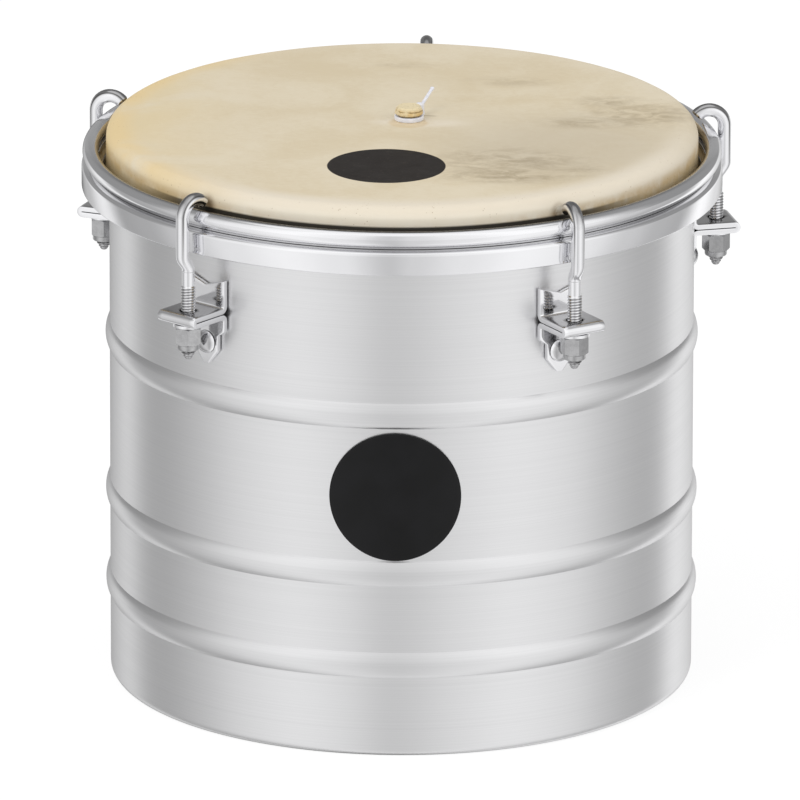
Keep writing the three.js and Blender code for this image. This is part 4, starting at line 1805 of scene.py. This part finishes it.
@dataclass
class StickSet:
    """The stick, the skin gathered over its head, and the cable tie round the neck."""

    centre: Triple = (*TIE_CENTRE, 247.4)
    foot_radius: float = 6.7
    skin: float = 1.2
    neck_inner: float = 3.2
    neck_outer: float = 4.4
    floor: float = 2.8
    chamber_floor: float = 3.15
    chamber_top: float = 5.55
    chamber_radius: float = 4.9
    knob_radius: float = 6.1
    knob_top: float = 6.75
    head_radius: float = 4.4
    head_bottom: float = 3.5
    head_height: float = 1.7
    stick_top: float = 2.975
    stick_length: float = 222.0
    stick_radius: float = 3.5
    stick_neck: float = 2.5
    node_outline: tuple[Point, ...] = (
        (0.0, -6), (0.05, -3), (0.3, -1.2), (0.34, -0.7), (0.05, 0), (0.3, 0.7), (0.1, 2), (0.0, 5),
    )
    neck_length: float = 6.0
    tie_inner: float = 4.7
    tie_outer: float = 6.4
    tie_bottom: float = 0.55
    tie_top: float = 2.4
    tie_turn: float = math.radians(57.5)
    tail_swing: float = math.radians(10)
    tail_rise: float = math.radians(25.7)
    tail_length: float = 13.5
    bridge_size: Triple = (3.6, 3.2, 1.8)
    block_size: Triple = (2.9, 3.2, 4.0)
    slot_size: Triple = (1.0, 2.3, 0.5)
    tail_section: Point = (1.45, 0.9)
    nub_size: Triple = (1.7, 1.9, 1.5)
    tooth_size: Triple = (0.45, 0.9, 0.3)
    tooth_pitch: float = 0.95

    def seated(self, mesh: BMesh) -> BMesh:
        """Moves a piece shaped about the stick's axis to its place on the drum."""
        return moved(mesh, Matrix.Translation(self.centre))

    def button(self) -> BMesh:
        """Builds the gathered skin: foot, neck and creased knob, hollow over the stick's head.

        Returns:
            The gathered skin.
        """
        wide = self.knob_radius
        outline = [
            (self.neck_inner, -self.skin),
            (self.foot_radius, -self.skin),
            (self.foot_radius, 0.0),
            (self.neck_outer + 0.5, 0.0),
            *arc((self.neck_outer + 0.5, 0.5), 0.5, 270, 180, 4),
            *spread((self.neck_outer, 0.8), (self.neck_outer, self.floor - 0.4), 5),
            (self.neck_outer + 0.2, self.floor - 0.1),
            *arc((wide - 1.0, self.floor + 1.0), 1.0, 280, 360, 8),
            (wide, self.floor + 1.3),
            (wide - 0.08, self.floor + 1.8),
            (wide - 0.3, self.floor + 2.1),
            (wide - 0.34, self.floor + 2.25),
            (wide - 0.2, self.floor + 2.45),
            *arc((wide - 1.65, self.knob_top - 1.35), 1.35, 0, 90, 8),
            *spread((wide - 2.0, self.knob_top), (0.8, self.knob_top - 0.25), 12),
            (0.0, self.knob_top - 0.3),
        ]
        chamber = [
            (0.0, self.chamber_top),
            (self.chamber_radius, self.chamber_top),
            (self.chamber_radius, self.chamber_floor),
            (self.neck_inner, self.floor),
        ]
        whole = spun([*chamber, *outline], 144, closed=False)

        def crease(place: Vector) -> Vector:
            """Gives the place in the creases of one vertex of the outside.

            Args:
                place: The vertex.

            Returns:
                Its new place.
            """
            radius = math.hypot(place.x, place.y)
            inside = radius < self.chamber_radius + 0.3 and place.z < self.chamber_top + 0.05
            if place.z < 0.3 or radius < 0.2 or inside:
                return place
            angle = math.atan2(place.y, place.x)
            wander = noise.noise(Vector((place.x, place.y, place.z)) * 0.35)
            wave = math.cos(angle * 13 + 2.2 * wander + 0.8 * math.sin(angle * 3))
            deep = 0.20 if radius > 3 else 0.08 * radius / 3
            share = 1 - deep / max(radius, 1.0) * (0.5 + 0.5 * wave) - 0.05 * (wander + 0.5)
            lift = noise.noise(Vector((place.x, place.y, 3.7)) * 0.8) if place.z > self.chamber_top + 0.6 else 0.0
            return Vector((place.x * share, place.y * share, place.z + 0.12 * lift - 0.05))
        return self.seated(reshaped(whole, crease))

    def stick_head(self) -> BMesh:
        """Builds the stick's turned head.

        Returns:
            The head.
        """
        bottom, top = self.head_bottom, self.head_bottom + self.head_height
        outline = [(0.0, bottom), (self.head_radius - 0.8, bottom),
                   *arc((self.head_radius - 0.85, (bottom + top) / 2), 0.85, -80, 80, 8),
                   (self.head_radius - 0.8, top), (0.0, top)]
        return self.seated(spun(outline, 48, closed=False))

    def stick(self) -> BMesh:
        """Builds the bamboo rod, with its nodes and its cut end.

        Returns:
            The rod.
        """
        base = self.centre[2]
        low = self.stick_top - self.stick_length
        shoulder = self.stick_top - self.neck_length
        outline: list[Point] = [(0.0, low), (self.stick_radius - 0.5, low), (self.stick_radius, low + 0.5)]
        for height in BAMBOO_NODES:
            outline += [(self.stick_radius + swell, height - base + rise) for swell, rise in self.node_outline]
        outline += [(self.stick_radius, shoulder - 1.25), (self.stick_neck, shoulder),
                    (self.stick_neck, self.stick_top - 0.2), (self.stick_neck - 0.2, self.stick_top),
                    (0.0, self.stick_top)]
        return self.seated(spun(outline, 32, closed=False))

    def tie(self) -> BMesh:
        """Builds the cable tie: toothed ring, ratchet block and cut tail.

        Returns:
            The whole tie.
        """
        middle = (self.tie_bottom + self.tie_top) / 2
        soft = 0.35
        ring = spun([
            (self.tie_inner, self.tie_bottom + 0.1),
            (self.tie_inner + 0.2, self.tie_bottom),
            *arc((self.tie_outer - soft, self.tie_bottom + soft), soft, 270, 360, 4),
            *arc((self.tie_outer - soft, self.tie_top - soft), soft, 0, 90, 4),
            (self.tie_inner + 0.2, self.tie_top),
            (self.tie_inner, self.tie_top - 0.1),
        ], 96)
        bridge = self.brick(self.bridge_size, 0.25, Matrix.Translation((self.tie_outer + 1.2, 0, middle)))
        block = self.brick(self.block_size, 0.6, Matrix.Translation((self.knob_radius + 1.8, 0, 4.0)))
        slot = self.brick(self.slot_size, 0.1, Matrix.Translation((self.knob_radius + 1.8, 0, 5.9)))
        root = Matrix.Translation((self.knob_radius + 2.0, 0, 4.0)) @ Matrix.Rotation(self.tail_swing, 4, "Z")
        aim = root @ Matrix.Rotation(-self.tail_rise, 4, "Y")
        length, pitch = self.tail_length, self.tooth_pitch
        tail = self.brick((length, *self.tail_section), 0.3, aim @ Matrix.Translation((length / 2, 0, 0)))
        nub = self.brick(self.nub_size, 0.6, aim @ Matrix.Translation((length - 0.85, 0, 0)))
        teeth = [self.brick(self.tooth_size, 0.08, aim @ Matrix.Translation((2.6 + pitch * step, 0, 0.5)))
                 for step in range(int((length - 4.4) / pitch))]
        whole = joined([ring, bridge, block, slot, tail, nub, *teeth])
        return self.seated(moved(whole, Matrix.Rotation(self.tie_turn, 4, "Z")))

    @staticmethod
    def brick(size: Triple, soft: float, place: Matrix) -> BMesh:
        """Gives a block with rounded edges.

        Args:
            size: Its length, width and height.
            soft: The rounding of its edges.
            place: Where its middle goes.

        Returns:
            The block.
        """
        made = bmesh.new()
        bmesh.ops.create_cube(made, size=1.0, matrix=Matrix.Diagonal((*size, 1.0)))
        bmesh.ops.bevel(made, geom=made.edges[:], offset=soft, affect="EDGES", segments=3, profile=0.5,
                        material=-1, clamp_overlap=True)
        return moved(made, place)

    def dress(self, bench: Workbench) -> None:
        """Hands the stick, its head, the button and the tie over.

        Args:
            bench: Where finished pieces go.
        """
        bench.hand_over(self.button(), "tied_button", Body.SKIN_CENTRE, GatheredSkin(), "skin_button", 50.0)
        bench.hand_over(self.tie(), "nylon_tie", Body.SKIN_CENTRE, Nylon(), "cable_tie")
        bench.hand_over(self.stick_head(), "stick_knob", Body.STICK_TOP, Bamboo(), "stick_head")
        bench.hand_over(self.stick(), "bamboo_stick", Body.STICK_ROD, Bamboo(), "stick")


@dataclass
class Studio:
    """The camera, the floor, the lamps and the light all round."""

    azimuth: float = 4.4
    elevation: float = 17.45
    roll: float = 0.118
    distance: float = 7.165
    lens: float = 739.935
    aim_height: float = 0.12146
    aim_right: float = -0.000665
    floor_size: float = 8.0
    floor_colour: Colour = (0.92, 0.92, 0.92, 1.0)
    floor_glow: float = 1.12
    floor_glow_share: float = 0.72
    room: Colour = (0.76, 0.76, 0.76, 1.0)
    lamp_size: float = 1.3
    key: Triple = (-1.1, -1.5, 1.9)
    key_power: float = 16.0
    fill: Triple = (1.6, -1.2, 1.5)
    fill_power: float = 8.0
    # Each stop is an angle from the camera's side, in degrees, and how bright the table is there.
    table: tuple[tuple[float, float], ...] = (
        (-180, 0.14), (-156, 0.55), (-136, 0.95), (-120, 0.42), (-104, 0.46), (-88, 0.62), (-64, 0.90),
        (-42, 1.05), (-22, 0.93), (-4, 0.64), (4, 0.75), (22, 0.92), (44, 1.06), (70, 0.94), (90, 0.68),
        (106, 0.53), (120, 0.48), (137, 1.15), (156, 0.80),
    )
    dark_wall: float = 0.32

    def camera(self) -> None:
        """Sets the camera up where the photograph was taken from."""
        turn = math.radians(self.azimuth)
        rise = math.radians(self.elevation)
        right = Vector((math.cos(turn), math.sin(turn), 0))
        aim = Vector((0, AXIS_Y * METRES, self.aim_height)) + right * self.aim_right
        back = Vector((math.cos(rise) * math.sin(turn), -math.cos(rise) * math.cos(turn), math.sin(rise)))
        data = bpy.data.cameras.new("portrait_camera")
        data.lens = self.lens
        data.sensor_width = 36.0
        data.sensor_fit = "HORIZONTAL"
        data.clip_start = 0.5
        data.clip_end = 100.0
        camera = bpy.data.objects.new("portrait_camera", data)
        look = back.to_track_quat("Z", "Y").to_matrix().to_4x4()
        camera.matrix_world = (Matrix.Translation(aim + back * self.distance) @ look
                               @ Matrix.Rotation(math.radians(self.roll), 4, "Z"))
        bpy.context.scene.collection.objects.link(camera)
        bpy.context.scene.camera = camera

    def below(self, bench: Bench, direction: Signal) -> Signal:
        """Gives how bright the table looks, by the angle about the drum.

        Args:
            bench: The world's bench.
            direction: The direction that is looked in.

        Returns:
            The brightness.
        """
        east, north, _ = bench.axes(direction)
        angle = bench.node("ShaderNodeMath", {"operation": "ARCTAN2"}, {0: east, 1: 0 - north})
        share = angle * (1 / TURN) + 0.5
        places = sorted((((stop + self.azimuth + 180) / 360) % 1.0, level) for stop, level in self.table)
        ends = (places[0][1] + places[-1][1]) / 2
        return bench.node("ShaderNodeValToRGB", {"stops": [(0.0, ends), *places, (1.0, ends)]}, {0: share})

    def toward(self, bench: Bench, direction: Signal, turn: float, rise: float) -> Signal:
        """Gives how far a direction points to a place on the sky: 1 there, 0 square to it.

        Args:
            bench: The world's bench.
            direction: The direction that is looked in.
            turn: The place's angle from the camera's side, in degrees.
            rise: Its height over the horizon, in degrees.

        Returns:
            The cosine of the angle between them.
        """
        side, high = math.radians(turn + self.azimuth), math.radians(rise)
        centre = (math.cos(high) * math.sin(side), -math.cos(high) * math.cos(side), math.sin(high))
        return bench.node("ShaderNodeVectorMath", {"operation": "DOT_PRODUCT"}, {0: direction, 1: centre}, "Value")

    def world(self) -> None:
        """Lights the drum evenly, shows white behind it, and bright and dark sides in its metal."""
        world = bpy.data.worlds.new("soft_studio")
        world.use_nodes = True
        bench = Bench(world.node_tree)
        background = world.node_tree.nodes["Background"]
        direction = bench.node("ShaderNodeTexCoord", output="Generated")
        up = bench.axes(direction)[2]
        below = self.below(bench, direction)
        behind = self.toward(bench, direction, 180, 0).between(-0.25, 0.35)
        walls = bench.blend(behind, below * 1.1, (self.dark_wall,) * 3 + (1.0,))
        glow = self.toward(bench, direction, 180, 2).between(0.8, 0.96) * 0.38
        above = walls.math("MAXIMUM", glow).math("MAXIMUM", up.between(0.80, 0.92) * 1.05)
        mirrored = bench.blend(up.between(-0.03, 0.06), below, above)
        path = bench.node("ShaderNodeLightPath").socket.node.outputs
        glossy = Signal(bench, path["Is Glossy Ray"])
        camera = Signal(bench, path["Is Camera Ray"])
        colour = bench.blend(camera, bench.blend(glossy, self.room, mirrored), WHITE)
        world.node_tree.links.new(colour.socket, background.inputs["Color"])
        bpy.context.scene.world = world

    def floor(self) -> None:
        """Lays the pale floor, white to the camera but for the drum's soft shadow."""
        material = bpy.data.materials.new("pale_floor")
        material.use_nodes = True
        tree = material.node_tree
        tree.nodes.remove(tree.nodes["Principled BSDF"])
        bench = Bench(tree)
        matt = bench.node("ShaderNodeBsdfDiffuse", sockets={"Color": self.floor_colour})
        white = bench.node("ShaderNodeEmission", sockets={"Color": WHITE, "Strength": self.floor_glow})
        seen = bench.node("ShaderNodeMixShader", sockets={0: self.floor_glow_share, 1: matt, 2: white})
        path = bench.node("ShaderNodeLightPath").socket.node.outputs
        camera = Signal(bench, path["Is Camera Ray"])
        shade = bench.node("ShaderNodeMixShader", sockets={0: camera, 1: matt, 2: seen})
        tree.links.new(shade.socket, tree.nodes["Material Output"].inputs["Surface"])
        mesh = bmesh.new()
        bmesh.ops.create_grid(mesh, x_segments=1, y_segments=1, size=self.floor_size / 2)
        floor = as_object(mesh, "studio_floor")
        floor.data.materials.append(material)
        floor.visible_glossy = False
        floor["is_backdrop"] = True

    def lamp(self, name: str, place: Triple, power: float) -> None:
        """Hangs one soft lamp that points at the drum.

        Args:
            name: The lamp's name.
            place: Where it hangs, in metres.
            power: Its power in watts.
        """
        data = bpy.data.lights.new(name, "AREA")
        data.size = self.lamp_size
        data.energy = power
        lamp = bpy.data.objects.new(name, data)
        aim = Vector(place) - Vector((0, 0, 0.15))
        lamp.matrix_world = Matrix.Translation(place) @ aim.to_track_quat("Z", "Y").to_matrix().to_4x4()
        lamp.visible_glossy = False
        bpy.context.scene.collection.objects.link(lamp)

    def dress(self) -> None:
        """Sets the whole studio up."""
        bpy.context.scene.view_settings.view_transform = "Standard"
        self.camera()
        self.world()
        self.floor()
        self.lamp("key_lamp", self.key, self.key_power)
        self.lamp("fill_lamp", self.fill, self.fill_power)


def main() -> None:
    """Builds and dresses the whole drum in its studio."""
    logging.basicConfig(level=logging.INFO, format="%(name)s: %(message)s")
    bench = Workbench()
    Studio().dress()
    Shell().dress(bench)
    Badge().dress(bench)
    HeadSkin().dress(bench)
    Hoops().dress(bench)
    Stations().dress(bench)
    StickSet().dress(bench)
    boxes = {"cad": cad_box, "visual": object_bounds()}
    {key: [[float(part) for part in corner] for corner in box] for key, box in boxes.items()}


if __name__ == "__main__":
    main()
